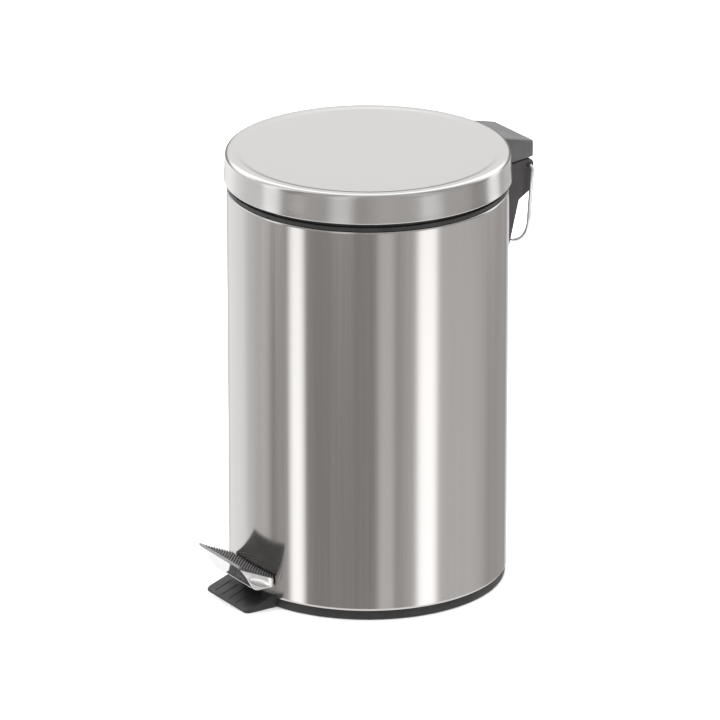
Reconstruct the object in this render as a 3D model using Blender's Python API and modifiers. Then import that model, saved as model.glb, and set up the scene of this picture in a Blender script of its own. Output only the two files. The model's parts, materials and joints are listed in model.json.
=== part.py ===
"""Pedal trash can: a round steel can with a hinged lid, opened by a foot pedal.

Metres, +Z up.  The origin is on the can's axis, on the floor.  The pedal points
along -Y and the hinge along +Y.  Pressing the pedal turns the lever under the
bucket, the lever lifts the push rod at the back, and the rod turns the lid.
"""
import math

import bmesh
import bpy
from mathutils import Vector

# ---- Driving dimensions ----------------------------------------------------
GAP = 0.0003                  # clearance between pieces that touch

BODY_RADIUS = 0.125
STEEL = 0.0006                # sheet of the body and of the lid
BODY_BOTTOM = 0.0093
BODY_TOP = 0.3642
LIP = 0.0019                  # the body's rolled edges turn in by this much

BASE_RADIUS = 0.1236
BASE_HEIGHT = 0.009
COLLAR_RADIUS = 0.1221        # stands inside the body's lower edge
COLLAR_TOP = 0.019

FOOT_WIDTH = 0.069
FOOT_FRONT = 0.1507           # distance in front of the axis
FOOT_CORNER = 0.005
FOOT_LIP = 0.0018             # height of the foot's front edge
FOOT_TOP = 0.0112             # low enough for the pedal at the end of its travel
FOOT_TOP_AT = 0.1241          # where the slope reaches its full height

RIM_RADIUS = 0.1246
RIM_TOP = 0.3714
RIM_SHELF = 0.3686            # the bucket's flange rests on it
RIM_SHELF_INNER = 0.1180
RIM_LIP_INNER = 0.1216        # the raised lip round the flange
RIM_SKIRT_OUTER = 0.1229      # the skirt stands inside the body's rolled edge
RIM_SKIRT_INNER = 0.1208
RIM_SKIRT_LOW = 0.3530

BUCKET_TOP_RADIUS = 0.1130
BUCKET_BOTTOM_RADIUS = 0.1065
BUCKET_BOTTOM = 0.058
BUCKET_WALL = 0.0015
FLANGE_RADIUS = 0.1212
FLANGE_THICKNESS = 0.0017

BAIL_RADIUS = 0.1150
BAIL_WIRE = 0.0015

LID_RADIUS = 0.1276
LID_BOTTOM = 0.3720
LID_TOP = 0.3986

HINGE_Y = 0.1502
HINGE_Z = 0.3649
HINGE_PIN = 0.00215
HINGE_HALF = 0.0315           # half the width of the bracket and of its cover
HINGE_WALL = 0.0025
KNUCKLE = 0.0058
BARREL = 0.0054
BARREL_HALF = 0.0236
BOSS_INNER = 0.0240           # the bracket's knuckles run from here to its sides

ROD_WIRE = 0.00175
ROD_LOW_Y = 0.1165            # the rod inside the can
LUG_REACH = 0.019             # from the hinge to the rod, with the lid shut
LUG_ANGLE = math.radians(40)  # the lug hangs this far below level, lid shut
LUG_INNER = 0.0045
LUG_OUTER = 0.0085

PIVOT_Y = -0.062
PIVOT_Z = 0.0165
PIVOT_PIN = 0.00225
LEVER_BOTTOM = 0.0215
LEVER_TOP = 0.0240
LEVER_FRONT = 0.1370
LEVER_END = 0.1215

TREAD_HALF = 0.0337
TREAD_FRONT = 0.1578
TREAD_FRONT_Z = 0.0472
TREAD_SLOPE = 0.4577          # fall of the tread for each metre towards the can
TREAD_THICKNESS = 0.0027      # measured upright
SCOOP_SHEET = 0.0012
PEDAL_CLEARANCE = 0.0012      # from the pedal's back edges to the body

HANDLE_WIRE = 0.00175
HANDLE_TOP_HALF = 0.0372
HANDLE_LOW_HALF = 0.0325
HANDLE_ARC_Z = 0.3170
HANDLE_BOTTOM = 0.2862

ROD_UP_Y = HINGE_Y - LUG_REACH * math.cos(LUG_ANGLE)
ROD_TOP_Z = HINGE_Z - LUG_REACH * math.sin(LUG_ANGLE)

# ---- Scene -----------------------------------------------------------------
for old in list(bpy.data.objects):
    bpy.data.objects.remove(old, do_unlink=True)

parts = bpy.data.collections.new("pedal_trash_can")
cutters = bpy.data.collections.new("cutters")
bpy.context.scene.collection.children.link(parts)
bpy.context.scene.collection.children.link(cutters)


def finish(name, colour, roughness, metallic):
    """A Principled material."""
    material = bpy.data.materials.new(name)
    material.use_nodes = True
    shader = material.node_tree.nodes["Principled BSDF"]
    shader.inputs["Base Color"].default_value = (*colour, 1.0)
    shader.inputs["Roughness"].default_value = roughness
    shader.inputs["Metallic"].default_value = metallic
    return material


BRUSHED = finish("brushed_steel", (0.62, 0.60, 0.58), 0.30, 1.0)
POLISHED = finish("polished_steel", (0.72, 0.71, 0.70), 0.15, 1.0)
CHROME = finish("chrome", (0.80, 0.80, 0.80), 0.06, 1.0)
ZINC = finish("zinc_plate", (0.55, 0.56, 0.58), 0.35, 1.0)
BLACK = finish("black_plastic", (0.03, 0.03, 0.03), 0.45, 0.0)
GREY = finish("dark_grey_plastic", (0.09, 0.09, 0.09), 0.50, 0.0)
LINER = finish("bucket_plastic", (0.06, 0.06, 0.06), 0.55, 0.0)


# ---- Ways of making pieces -------------------------------------------------
def place(obj, material, cutter=False):
    """Put an object in its collection with its material."""
    for collection in list(obj.users_collection):
        collection.objects.unlink(obj)
    (cutters if cutter else parts).objects.link(obj)
    if cutter:
        obj.hide_render = True
        obj.display_type = "WIRE"
    elif material:
        obj.data.materials.clear()
        obj.data.materials.append(material)
    return obj


def smooth(mesh, angle=35):
    mesh.shade_smooth()
    mesh.set_sharp_from_angle(angle=math.radians(angle))


def turned(name, profile, material=None, closed=True, steps=72, cutter=False):
    """A profile of (radius, height), down its outer side, turned about Z."""
    mesh = bpy.data.meshes.new(name)
    edges = [(i, i + 1) for i in range(len(profile) - 1)]
    if closed:
        edges.append((len(profile) - 1, 0))
    mesh.from_pydata([(r, 0.0, z) for r, z in profile], edges, [])
    obj = bpy.data.objects.new(name, mesh)
    turn = obj.modifiers.new("turn", "SCREW")
    turn.axis = "Z"
    turn.steps = steps
    turn.render_steps = steps
    turn.use_merge_vertices = True
    turn.merge_threshold = 0.00001
    turn.use_normal_calculate = False
    return place(obj, material, cutter)


def to_mesh(source):
    """The evaluated object as a plain welded mesh, in place of the source."""
    bpy.context.view_layer.update()
    graph = bpy.context.evaluated_depsgraph_get()
    mesh = bpy.data.meshes.new_from_object(source.evaluated_get(graph))
    grid = bmesh.new()
    grid.from_mesh(mesh)
    bmesh.ops.remove_doubles(grid, verts=grid.verts, dist=0.00001)
    bmesh.ops.recalc_face_normals(grid, faces=grid.faces)
    grid.to_mesh(mesh)
    grid.free()
    obj = bpy.data.objects.new(source.name, mesh)
    obj.matrix_world = source.matrix_world
    name = source.name
    for collection in source.users_collection:
        collection.objects.link(obj)
    bpy.data.objects.remove(source, do_unlink=True)
    obj.name = name
    return obj


SIDEWAYS = (math.pi / 2, 0.0, math.pi / 2)   # an outline in Y and Z, thick along X


def slab(name, outline, thickness, material=None, at=(0, 0, 0), turn=(0, 0, 0), cutter=False):
    """A flat outline, extruded by its thickness about its own plane."""
    curve = bpy.data.curves.new(name, "CURVE")
    curve.dimensions = "2D"
    curve.fill_mode = "BOTH"
    curve.extrude = thickness / 2
    line = curve.splines.new("POLY")
    line.points.add(len(outline) - 1)
    for point, (x, y) in zip(line.points, outline):
        point.co = (x, y, 0.0, 1.0)
    line.use_cyclic_u = True
    obj = bpy.data.objects.new(name, curve)
    obj.location = at
    obj.rotation_euler = turn
    place(obj, None, cutter)
    obj = to_mesh(obj)
    return place(obj, material, cutter)


def box(name, low, high, cutter=True):
    """A box between two corners."""
    grid = bmesh.new()
    bmesh.ops.create_cube(grid, size=1.0)
    size = [high[i] - low[i] for i in range(3)]
    bmesh.ops.scale(grid, vec=size, verts=grid.verts)
    mesh = bpy.data.meshes.new(name)
    grid.to_mesh(mesh)
    grid.free()
    obj = bpy.data.objects.new(name, mesh)
    obj.location = [(high[i] + low[i]) / 2 for i in range(3)]
    return place(obj, None, cutter)


def cylinder(name, radius, start, end, cutter=True, segments=32):
    """A round bar between two points."""
    start, end = Vector(start), Vector(end)
    grid = bmesh.new()
    bmesh.ops.create_cone(grid, cap_ends=True, segments=segments, radius1=radius,
                          radius2=radius, depth=(end - start).length)
    mesh = bpy.data.meshes.new(name)
    grid.to_mesh(mesh)
    grid.free()
    obj = bpy.data.objects.new(name, mesh)
    obj.location = (start + end) / 2
    obj.rotation_euler = (end - start).to_track_quat("Z", "Y").to_euler()
    return place(obj, None, cutter)


def wire(name, points, radius, material):
    """A round wire along its points."""
    curve = bpy.data.curves.new(name, "CURVE")
    curve.dimensions = "3D"
    curve.bevel_depth = radius
    curve.bevel_resolution = 2
    curve.use_fill_caps = True
    line = curve.splines.new("POLY")
    line.points.add(len(points) - 1)
    for point, place_ in zip(line.points, points):
        point.co = (*place_, 1.0)
    obj = bpy.data.objects.new(name, curve)
    return place(obj, material)


def boolean(obj, tool, operation):
    modifier = obj.modifiers.new(tool.name, "BOOLEAN")
    modifier.operation = operation
    modifier.solver = "EXACT"
    modifier.object = tool


def cut(obj, *tools):
    for tool in tools:
        boolean(obj, tool, "DIFFERENCE")


def add(obj, *tools):
    for tool in tools:
        boolean(obj, tool, "UNION")


def arc(centre, radius, start, end, count):
    """Points on an arc, angles in degrees."""
    angles = [math.radians(start + (end - start) * i / count) for i in range(count + 1)]
    return [(centre[0] + radius * math.cos(a), centre[1] + radius * math.sin(a)) for a in angles]


def fastener(name, head, shank, length, thickness, at, turn, material=ZINC):
    """A pan head on a shank.  It points down -Z before it is turned."""
    profile = [(0.0, thickness), (head * 0.7, thickness), (head, thickness * 0.5), (head, 0.0),
               (shank, 0.0), (shank, -length), (0.0, -length)]
    obj = turned(name, profile, material, closed=False, steps=24)
    obj.location = at
    obj.rotation_euler = turn
    return obj


def ring(name, outer, inner, low, high, at, turn, material):
    """A flat washer."""
    obj = turned(name, [(outer, high), (outer, low), (inner, low), (inner, high)], material, steps=24)
    obj.location = at
    obj.rotation_euler = turn
    return obj


ALONG_X = (0.0, math.pi / 2, 0.0)
ALONG_Y = (math.pi / 2, 0.0, 0.0)    # a fastener's shank points along +Y

# ---- Base with its foot ----------------------------------------------------
FLOOR_TOP = 0.0055
FLOOR_UNDER = 0.0030
COLLAR_INNER = 0.1195
RING_INNER = 0.1170
LEVER_NOTCH_HALF = 0.016
LEVER_NOTCH_FLOOR = 0.0110

base = turned("base", [
    (0.0, FLOOR_TOP), (COLLAR_INNER, FLOOR_TOP), (COLLAR_INNER, COLLAR_TOP),
    (COLLAR_RADIUS, COLLAR_TOP), (COLLAR_RADIUS, BASE_HEIGHT), (BASE_RADIUS, BASE_HEIGHT),
    (BASE_RADIUS, 0.0006), (BASE_RADIUS - 0.0006, 0.0), (RING_INNER, 0.0),
    (RING_INNER, FLOOR_UNDER), (0.0, FLOOR_UNDER)], BLACK, closed=False)

FOOT_BACK = 0.108
half = FOOT_WIDTH / 2
foot_plan = [(half, -FOOT_BACK)]
foot_plan += arc((half - FOOT_CORNER, FOOT_CORNER - FOOT_FRONT), FOOT_CORNER, 0, -90, 6)
foot_plan += arc((FOOT_CORNER - half, FOOT_CORNER - FOOT_FRONT), FOOT_CORNER, -90, -180, 6)
foot_plan += [(-half, -FOOT_BACK)]
foot_side = [(-FOOT_FRONT - 0.01, FOOT_LIP - 0.01 * (FOOT_TOP - FOOT_LIP) / (FOOT_FRONT - FOOT_TOP_AT)),
             (-FOOT_TOP_AT, FOOT_TOP), (-FOOT_BACK + 0.01, FOOT_TOP), (-FOOT_BACK + 0.01, 0.05),
             (-FOOT_FRONT - 0.01, 0.05)]
foot = slab("foot", foot_plan, 0.02, at=(0, 0, 0.01), cutter=True)
cut(foot, slab("foot_slope", foot_side, 0.1, turn=SIDEWAYS, cutter=True))
add(base, foot)

PEDESTAL_INNER = 0.013
PEDESTAL_OUTER = 0.019
for side, word in ((-1, "left"), (1, "right")):
    x = sorted((side * PEDESTAL_INNER, side * PEDESTAL_OUTER))
    add(base, box(f"pedestal_{word}", (x[0], PIVOT_Y - 0.007, FLOOR_UNDER + 0.0005),
                  (x[1], PIVOT_Y + 0.007, PIVOT_Z + 0.005)))
cut(base,
    cylinder("pivot_hole", PIVOT_PIN + GAP, (-0.03, PIVOT_Y, PIVOT_Z), (0.03, PIVOT_Y, PIVOT_Z)),
    box("lever_notch", (-LEVER_NOTCH_HALF, -0.131, LEVER_NOTCH_FLOOR), (LEVER_NOTCH_HALF, -0.10, 0.03)),
    box("rod_notch", (-0.0075, 0.110, FLOOR_TOP), (0.0075, 0.1215, 0.03)))

# ---- Body ------------------------------------------------------------------
inner = BODY_RADIUS - STEEL
lip = BODY_RADIUS - STEEL - LIP
body = turned("body_shell", [
    (BODY_RADIUS, BODY_TOP - 0.0004), (BODY_RADIUS, BODY_BOTTOM + 0.0004),
    (BODY_RADIUS - 0.0004, BODY_BOTTOM), (lip, BODY_BOTTOM), (lip, BODY_BOTTOM + STEEL),
    (inner, BODY_BOTTOM + STEEL), (inner, BODY_TOP - STEEL), (lip + 0.0008, BODY_TOP - STEEL),
    (lip + 0.0008, BODY_TOP), (BODY_RADIUS - 0.0004, BODY_TOP)], BRUSHED, steps=96)

ROD_SLOT_LOW = 0.277
ROD_SLOT_HIGH = 0.328
ROD_SLOT_HALF = 0.004
BRACKET_SCREWS = {"upper_left": (-0.020, 0.3475), "upper_right": (0.020, 0.3475),
                  "lower_left": (-0.018, 0.292), "lower_right": (0.018, 0.292)}
SCREW = 0.0019
foot_gap = FOOT_WIDTH / 2 + GAP
cut(body,
    box("foot_opening", (-foot_gap, -0.14, 0.0), (foot_gap, -0.10, FOOT_TOP + GAP)),
    box("lever_opening", (-LEVER_NOTCH_HALF, -0.14, 0.0), (LEVER_NOTCH_HALF, -0.10, LEVER_TOP + 0.0035)))
rod_slot = box("rod_slot", (-ROD_SLOT_HALF, 0.10, ROD_SLOT_LOW), (ROD_SLOT_HALF, 0.14, ROD_SLOT_HIGH))
screw_holes = [cylinder(f"bracket_hole_{word}", SCREW + GAP, (x, 0.10, z), (x, 0.14, z), segments=24)
               for word, (x, z) in BRACKET_SCREWS.items()]
cut(body, rod_slot, *screw_holes)

# ---- Top rim ---------------------------------------------------------------
rim = turned("top_rim", [
    (RIM_RADIUS, RIM_TOP - 0.0010), (RIM_RADIUS, BODY_TOP + GAP), (RIM_SKIRT_OUTER, BODY_TOP + GAP),
    (RIM_SKIRT_OUTER, RIM_SKIRT_LOW), (RIM_SKIRT_INNER, RIM_SKIRT_LOW), (RIM_SKIRT_INNER, 0.3600),
    (RIM_SHELF_INNER, 0.3640), (RIM_SHELF_INNER, RIM_SHELF), (RIM_LIP_INNER, RIM_SHELF),
    (RIM_LIP_INNER, RIM_TOP), (RIM_RADIUS - 0.0008, RIM_TOP)], BLACK)

# ---- Hinge bracket ---------------------------------------------------------
bracket_cavity_back = 0.1531
knuckle_arc = arc((HINGE_Y, HINGE_Z), KNUCKLE, 90, -8, 8)
bracket_side = [(0.112, 0.3665)] + knuckle_arc + [
    (0.1534, 0.3414), (0.1405, 0.3335), (0.1331, 0.3031), (0.112, 0.2164)]
cavity_side = [(0.100, 0.3900), (bracket_cavity_back, 0.3900), (bracket_cavity_back, 0.3630),
               (0.1509, 0.3430), (0.1383, 0.3353), (0.1305, 0.3031), (0.100, 0.1778)]
bracket = slab("hinge_bracket", bracket_side, 2 * HINGE_HALF, GREY, turn=SIDEWAYS)
edges = bracket.modifiers.new("edges", "BEVEL")
edges.width = 0.0012
edges.segments = 2
edges.limit_method = "ANGLE"
edges.angle_limit = math.radians(50)
cut(bracket, slab("bracket_cavity", cavity_side, 2 * (HINGE_HALF - HINGE_WALL), turn=SIDEWAYS, cutter=True))
for side, word in ((-1, "left"), (1, "right")):
    add(bracket, cylinder(f"knuckle_{word}", KNUCKLE - 0.0001, (side * BOSS_INNER, HINGE_Y, HINGE_Z),
                          (side * (HINGE_HALF - 0.001), HINGE_Y, HINGE_Z), segments=32))
for word, (x, z) in BRACKET_SCREWS.items():
    reach = 0.1518 if "upper" in word else 0.1295
    add(bracket, cylinder(f"screw_post_{word}", 0.0042, (x, 0.110, z), (x, reach, z), segments=24))
PIN_END = 0.0275
HANDLE_END = 0.0282
cut(bracket,
    box("barrel_gap", (-BOSS_INNER - GAP, 0.10, HINGE_Z - BARREL - 0.0007), (BOSS_INNER - GAP, 0.17, 0.39)),
    cylinder("bracket_pin_hole", HINGE_PIN + GAP, (-PIN_END - GAP, HINGE_Y, HINGE_Z),
             (PIN_END + GAP, HINGE_Y, HINGE_Z)),
    cylinder("handle_hole", HANDLE_WIRE + GAP, (-0.04, HINGE_Y, HINGE_Z), (0.04, HINGE_Y, HINGE_Z)),
    cylinder("body_clearance", BODY_RADIUS + GAP, (0, 0, 0.15), (0, 0, 0.42), segments=96),
    *[cylinder(f"post_hole_{word}", SCREW + GAP, (x, 0.10, z),
               (x, 0.1285 if "lower" in word else 0.136, z), segments=24)
      for word, (x, z) in BRACKET_SCREWS.items()])

# ---- Backing plate inside the body, and the four screws -------------------
PLATE_OUTER = BODY_RADIUS - STEEL - GAP
PLATE_SHEET = 0.0012
PLATE_LOW = 0.2700
PLATE_TOP = 0.3522
plate = turned("backing_plate", [
    (PLATE_OUTER, PLATE_TOP), (PLATE_OUTER, PLATE_LOW), (PLATE_OUTER - PLATE_SHEET, PLATE_LOW),
    (PLATE_OUTER - PLATE_SHEET, PLATE_TOP)], ZINC, steps=96)
keep = box("plate_keep", (-0.027, 0.10, 0.26), (0.027, 0.14, 0.36))
boolean(plate, keep, "INTERSECT")
cut(plate, rod_slot, *screw_holes)
HEAD_SEAT = 0.1203
for word, (x, z) in BRACKET_SCREWS.items():
    fastener(f"bracket_screw_{word}", 0.0035, SCREW, 0.0075 if "lower" in word else 0.0145, 0.0018,
             (x, HEAD_SEAT, z), ALONG_Y)

# ---- Hinge pin -------------------------------------------------------------
turned("hinge_pin", [(0.0, PIN_END), (HINGE_PIN, PIN_END), (HINGE_PIN, -PIN_END), (0.0, -PIN_END)],
       ZINC, closed=False, steps=24)
bpy.data.objects["hinge_pin"].location = (0, HINGE_Y, HINGE_Z)
bpy.data.objects["hinge_pin"].rotation_euler = ALONG_X

# ---- Lid -------------------------------------------------------------------
lid_outside = [(0.0, LID_TOP), (0.1160, LID_TOP - 0.0003), (0.1205, LID_TOP - 0.0008),
               (0.1238, LID_TOP - 0.0022), (0.1262, LID_TOP - 0.0046), (LID_RADIUS, LID_TOP - 0.0080),
               (LID_RADIUS, LID_BOTTOM)]
lid_inside = [(LID_RADIUS - STEEL, LID_BOTTOM), (LID_RADIUS - STEEL, LID_TOP - 0.0080),
              (0.1257, LID_TOP - 0.0049), (0.1234, LID_TOP - 0.0027), (0.1203, LID_TOP - 0.0014),
              (0.1160, LID_TOP - 0.0009), (0.0, LID_TOP - STEEL)]
lid = turned("lid_shell", lid_outside + lid_inside, POLISHED, closed=False, steps=96)
LID_SCREW_X = 0.018
LID_SCREW_Z = 0.3820
lid_holes = [cylinder(f"lid_hole_{word}", SCREW + GAP, (side * LID_SCREW_X, 0.11, LID_SCREW_Z),
                      (side * LID_SCREW_X, 0.1372, LID_SCREW_Z), segments=24)
             for side, word in ((-1, "left"), (1, "right"))]
cut(lid, *lid_holes)
turned("lid_ring", [(0.1267, 0.3755), (0.1267, LID_BOTTOM + GAP), (0.1218, LID_BOTTOM + GAP),
                    (0.1218, 0.3738), (0.1240, 0.3755)], BLACK)

# ---- Hinge cover with the lug that the rod pushes --------------------------
COVER_BACK = 0.1557
COVER_LOW = 0.3718
COVER_HIGH = 0.3874           # at its back; the top rises towards the lid
COVER_TOP = 0.3975
cover_side = [(0.112, 0.3672), (COVER_BACK, COVER_LOW), (COVER_BACK, COVER_HIGH), (0.112, COVER_TOP)]
rise = (COVER_TOP - COVER_HIGH) / (COVER_BACK - 0.112)
hollow_side = [(0.1312, 0.36), (COVER_BACK - HINGE_WALL, 0.36),
               (COVER_BACK - HINGE_WALL, COVER_HIGH - HINGE_WALL * (1 - rise)),
               (0.1312, COVER_HIGH - HINGE_WALL + rise * (COVER_BACK - 0.1312))]
cover = slab("hinge_cover", cover_side, 2 * HINGE_HALF, GREY, turn=SIDEWAYS)
edges = cover.modifiers.new("edges", "BEVEL")
edges.width = 0.0018
edges.segments = 2
edges.limit_method = "ANGLE"
edges.angle_limit = math.radians(50)
cut(cover, slab("cover_hollow", hollow_side, 2 * (HINGE_HALF - HINGE_WALL), turn=SIDEWAYS, cutter=True))

tip = LUG_REACH + ROD_WIRE + 0.0029
lug_width = 0.0052
lug_line = [(0.0, -lug_width)] + arc((tip - lug_width, 0), lug_width, -90, 90, 10) + [(0.0, lug_width)]
lug_turn = math.pi + LUG_ANGLE       # forward and down from the hinge


def from_hinge(x, y):
    """A point on the lug's own line, in Y and Z."""
    return (HINGE_Y + x * math.cos(lug_turn) - y * math.sin(lug_turn),
            HINGE_Z + x * math.sin(lug_turn) + y * math.cos(lug_turn))


lug_mid = ((LUG_INNER + LUG_OUTER) / 2, 0, 0)
slot_half = ROD_WIRE + 0.0011
slot_in = LUG_REACH * math.cos(LUG_ANGLE) - ROD_WIRE - 0.0006 + slot_half
slot_out = LUG_REACH + ROD_WIRE + 0.0006 - slot_half
slot_line = arc((slot_in, 0), slot_half, 270, 90, 8) + arc((slot_out, 0), slot_half, 90, -90, 8)
add(cover,
    cylinder("hinge_barrel", BARREL, (-BARREL_HALF, HINGE_Y, HINGE_Z), (BARREL_HALF, HINGE_Y, HINGE_Z),
             segments=32),
    box("barrel_web", (-BARREL_HALF, HINGE_Y - 0.0030, HINGE_Z),
        (BARREL_HALF, HINGE_Y + BARREL - 0.0002, 0.3760)),
    slab("lug", [from_hinge(x, y) for x, y in lug_line], LUG_OUTER - LUG_INNER, at=lug_mid,
         turn=SIDEWAYS, cutter=True),
    *[cylinder(f"cover_post_{word}", 0.0042, (side * LID_SCREW_X, 0.12, LID_SCREW_Z),
               (side * LID_SCREW_X, 0.1400, LID_SCREW_Z), segments=24)
      for side, word in ((-1, "left"), (1, "right"))])
cut(cover,
    cylinder("barrel_hole", HINGE_PIN + GAP, (-0.028, HINGE_Y, HINGE_Z), (0.028, HINGE_Y, HINGE_Z)),
    slab("lug_slot", [from_hinge(x, y) for x, y in slot_line], 0.006, at=lug_mid, turn=SIDEWAYS, cutter=True),
    cylinder("lid_clearance", LID_RADIUS + GAP, (0, 0, 0.33), (0, 0, 0.42), segments=96),
    *lid_holes)
for side, word in ((-1, "left"), (1, "right")):
    fastener(f"lid_screw_{word}", 0.0033, SCREW, 0.0118, 0.0018,
             (side * LID_SCREW_X, 0.1249, LID_SCREW_Z), ALONG_Y)

# ---- Pedal: scoop, tread, lever and rivets ---------------------------------
def tread_z(front, below=0.0):
    """Height of the tread's top at a distance in front of the axis."""
    return TREAD_FRONT_Z - TREAD_SLOPE * (TREAD_FRONT - front) - below


scoop_line = [(0.1566, 0.0438), (0.1498, 0.0343), (0.1453, 0.0262), (0.1430, 0.0228), (0.1405, 0.0209),
              (0.1375, 0.0200), (0.1150, 0.0200)]
scoop_top = TREAD_THICKNESS + GAP
scoop_side = [(-y, z) for y, z in scoop_line] + [(-0.1150, tread_z(0.1150, scoop_top)),
                                                (-0.1560, tread_z(0.1560, scoop_top))]
thin = SCOOP_SHEET
scoop_hollow = [(-0.1600, 0.0520), (-0.1545, 0.0438), (-0.1487, 0.0350), (-0.1442, 0.0268),
                (-0.1420, 0.0236), (-0.1399, 0.0220), (-0.1372, 0.0200 + thin), (-0.1100, 0.0200 + thin),
                (-0.1100, 0.0520)]
scoop = slab("pedal_scoop", scoop_side, 2 * TREAD_HALF, CHROME, turn=SIDEWAYS)
cut(scoop,
    slab("scoop_hollow", scoop_hollow, 2 * (TREAD_HALF - thin), turn=SIDEWAYS, cutter=True),
    cylinder("pedal_clearance", BODY_RADIUS + PEDAL_CLEARANCE, (0, 0, 0), (0, 0, 0.08), segments=96))

tread_side = [(-TREAD_FRONT, TREAD_FRONT_Z), (-TREAD_FRONT + 0.0004, TREAD_FRONT_Z - TREAD_THICKNESS),
              (-0.1150, tread_z(0.1150, TREAD_THICKNESS)), (-0.1150, tread_z(0.1150))]
tread = slab("pedal_tread", tread_side, 2 * TREAD_HALF, GREY, turn=SIDEWAYS)
cut(tread, cylinder("tread_clearance", BODY_RADIUS + PEDAL_CLEARANCE, (0, 0, 0), (0, 0, 0.08), segments=96))

LEVER_WIDE = 0.012
LEVER_NARROW = 0.0075
FORK_HALF = 0.0029
FORK_FROM = ROD_LOW_Y - 0.0031
lever_plan = [(-LEVER_WIDE, -LEVER_FRONT), (LEVER_WIDE, -LEVER_FRONT), (LEVER_WIDE, -0.045),
              (LEVER_NARROW, -0.030), (LEVER_NARROW, LEVER_END), (FORK_HALF, LEVER_END),
              (FORK_HALF, FORK_FROM), (-FORK_HALF, FORK_FROM), (-FORK_HALF, LEVER_END),
              (-LEVER_NARROW, LEVER_END), (-LEVER_NARROW, -0.030), (-LEVER_WIDE, -0.045)]
lever_mid = (LEVER_BOTTOM + LEVER_TOP) / 2
lever = slab("pedal_lever", lever_plan, LEVER_TOP - LEVER_BOTTOM, ZINC, at=(0, 0, lever_mid))
barrel = 0.0046
add(lever,
    cylinder("lever_barrel", barrel, (-LEVER_WIDE, PIVOT_Y, PIVOT_Z), (LEVER_WIDE, PIVOT_Y, PIVOT_Z)),
    box("lever_web", (-LEVER_WIDE + 0.0001, PIVOT_Y - 0.004, PIVOT_Z),
        (LEVER_WIDE - 0.0001, PIVOT_Y + 0.004, 0.022)))
RIVET = 0.0016
RIVET_X = 0.0075
RIVET_Y = -0.1335
rivet_holes = [cylinder(f"rivet_hole_{word}", RIVET + GAP, (side * RIVET_X, RIVET_Y, 0.015),
                        (side * RIVET_X, RIVET_Y, 0.030), segments=24)
               for side, word in ((-1, "left"), (1, "right"))]
cut(lever, cylinder("lever_hole", PIVOT_PIN + GAP, (-0.03, PIVOT_Y, PIVOT_Z), (0.03, PIVOT_Y, PIVOT_Z)),
    *rivet_holes)
cut(scoop, *rivet_holes)
for side, word in ((-1, "left"), (1, "right")):
    low, high = 0.0200 - GAP, LEVER_TOP + GAP
    rivet = turned(f"pedal_rivet_{word}", [
        (0.0, high + 0.0012), (0.0022, high + 0.0009), (0.0030, high), (RIVET, high), (RIVET, low),
        (0.0030, low), (0.0024, low - 0.0007), (0.0, low - 0.0009)], ZINC, closed=False, steps=24)
    rivet.location = (side * RIVET_X, RIVET_Y, 0)

# ---- Pivot pin with its push nut -------------------------------------------
HEAD_AT = -PEDESTAL_OUTER - GAP
fastener("pivot_pin", 0.0040, PIVOT_PIN, 0.0420, 0.0015, (HEAD_AT, PIVOT_Y, PIVOT_Z), (0, -math.pi / 2, 0))
ring("pivot_push_nut", 0.0045, PIVOT_PIN + GAP, 0.0, 0.0012,
     (PEDESTAL_OUTER + GAP, PIVOT_Y, PIVOT_Z), ALONG_X, ZINC)

# ---- Push rod, its collar and nuts -----------------------------------------
ROD_BOTTOM = 0.0120
ROD_BEND_LOW = 0.262
ROD_BEND_HIGH = 0.334
ROD_END_X = 0.0118
bend = 0.003
rod_points = [(0, ROD_LOW_Y, ROD_BOTTOM), (0, ROD_LOW_Y, ROD_BEND_LOW - 0.004),
              (0, ROD_LOW_Y + 0.0005, ROD_BEND_LOW + 0.001), (0, ROD_UP_Y - 0.0005, ROD_BEND_HIGH - 0.001),
              (0, ROD_UP_Y, ROD_BEND_HIGH + 0.004)]
rod_points += [(bend - bend * math.cos(a), ROD_UP_Y, ROD_TOP_Z - bend + bend * math.sin(a))
               for a in [math.radians(18 * i) for i in range(6)]]
rod_points += [(ROD_END_X, ROD_UP_Y, ROD_TOP_Z)]
wire("push_rod", rod_points, ROD_WIRE, ZINC)
COLLAR_AT = LEVER_TOP + 0.0010
ring("rod_collar", 0.0045, ROD_WIRE + GAP, COLLAR_AT, COLLAR_AT + 0.003, (0, ROD_LOW_Y, 0), (0, 0, 0), ZINC)
ring("rod_lower_nut", 0.0036, ROD_WIRE + GAP, 0.0130, 0.0142, (0, ROD_LOW_Y, 0), (0, 0, 0), ZINC)
ring("rod_upper_nut", 0.0040, ROD_WIRE + GAP, 0.0, 0.0012, (LUG_OUTER + 0.0009, ROD_UP_Y, ROD_TOP_Z),
     ALONG_X, ZINC)

# ---- Inner bucket and its bail ---------------------------------------------
flange_low = RIM_SHELF + GAP
flange_top = flange_low + FLANGE_THICKNESS
bucket = turned("inner_bucket", [
    (FLANGE_RADIUS, flange_top), (FLANGE_RADIUS, flange_low),
    (BUCKET_TOP_RADIUS, flange_low), (BUCKET_BOTTOM_RADIUS, BUCKET_BOTTOM + 0.004),
    (BUCKET_BOTTOM_RADIUS - 0.004, BUCKET_BOTTOM), (0.0, BUCKET_BOTTOM), (0.0, BUCKET_BOTTOM + BUCKET_WALL),
    (BUCKET_BOTTOM_RADIUS - 0.0046, BUCKET_BOTTOM + BUCKET_WALL),
    (BUCKET_BOTTOM_RADIUS - BUCKET_WALL, BUCKET_BOTTOM + 0.0046),
    (BUCKET_TOP_RADIUS - BUCKET_WALL, flange_top)], LINER)
bail_z = flange_top + GAP + BAIL_WIRE
for side, word in ((-1, "left"), (1, "right")):
    x = sorted((side * 0.1172, side * 0.1202))
    add(bucket, box(f"bail_ear_{word}", (x[0], -0.0045, flange_top - 0.0005),
                    (x[1], 0.0045, flange_top + 0.0048)))
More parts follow.
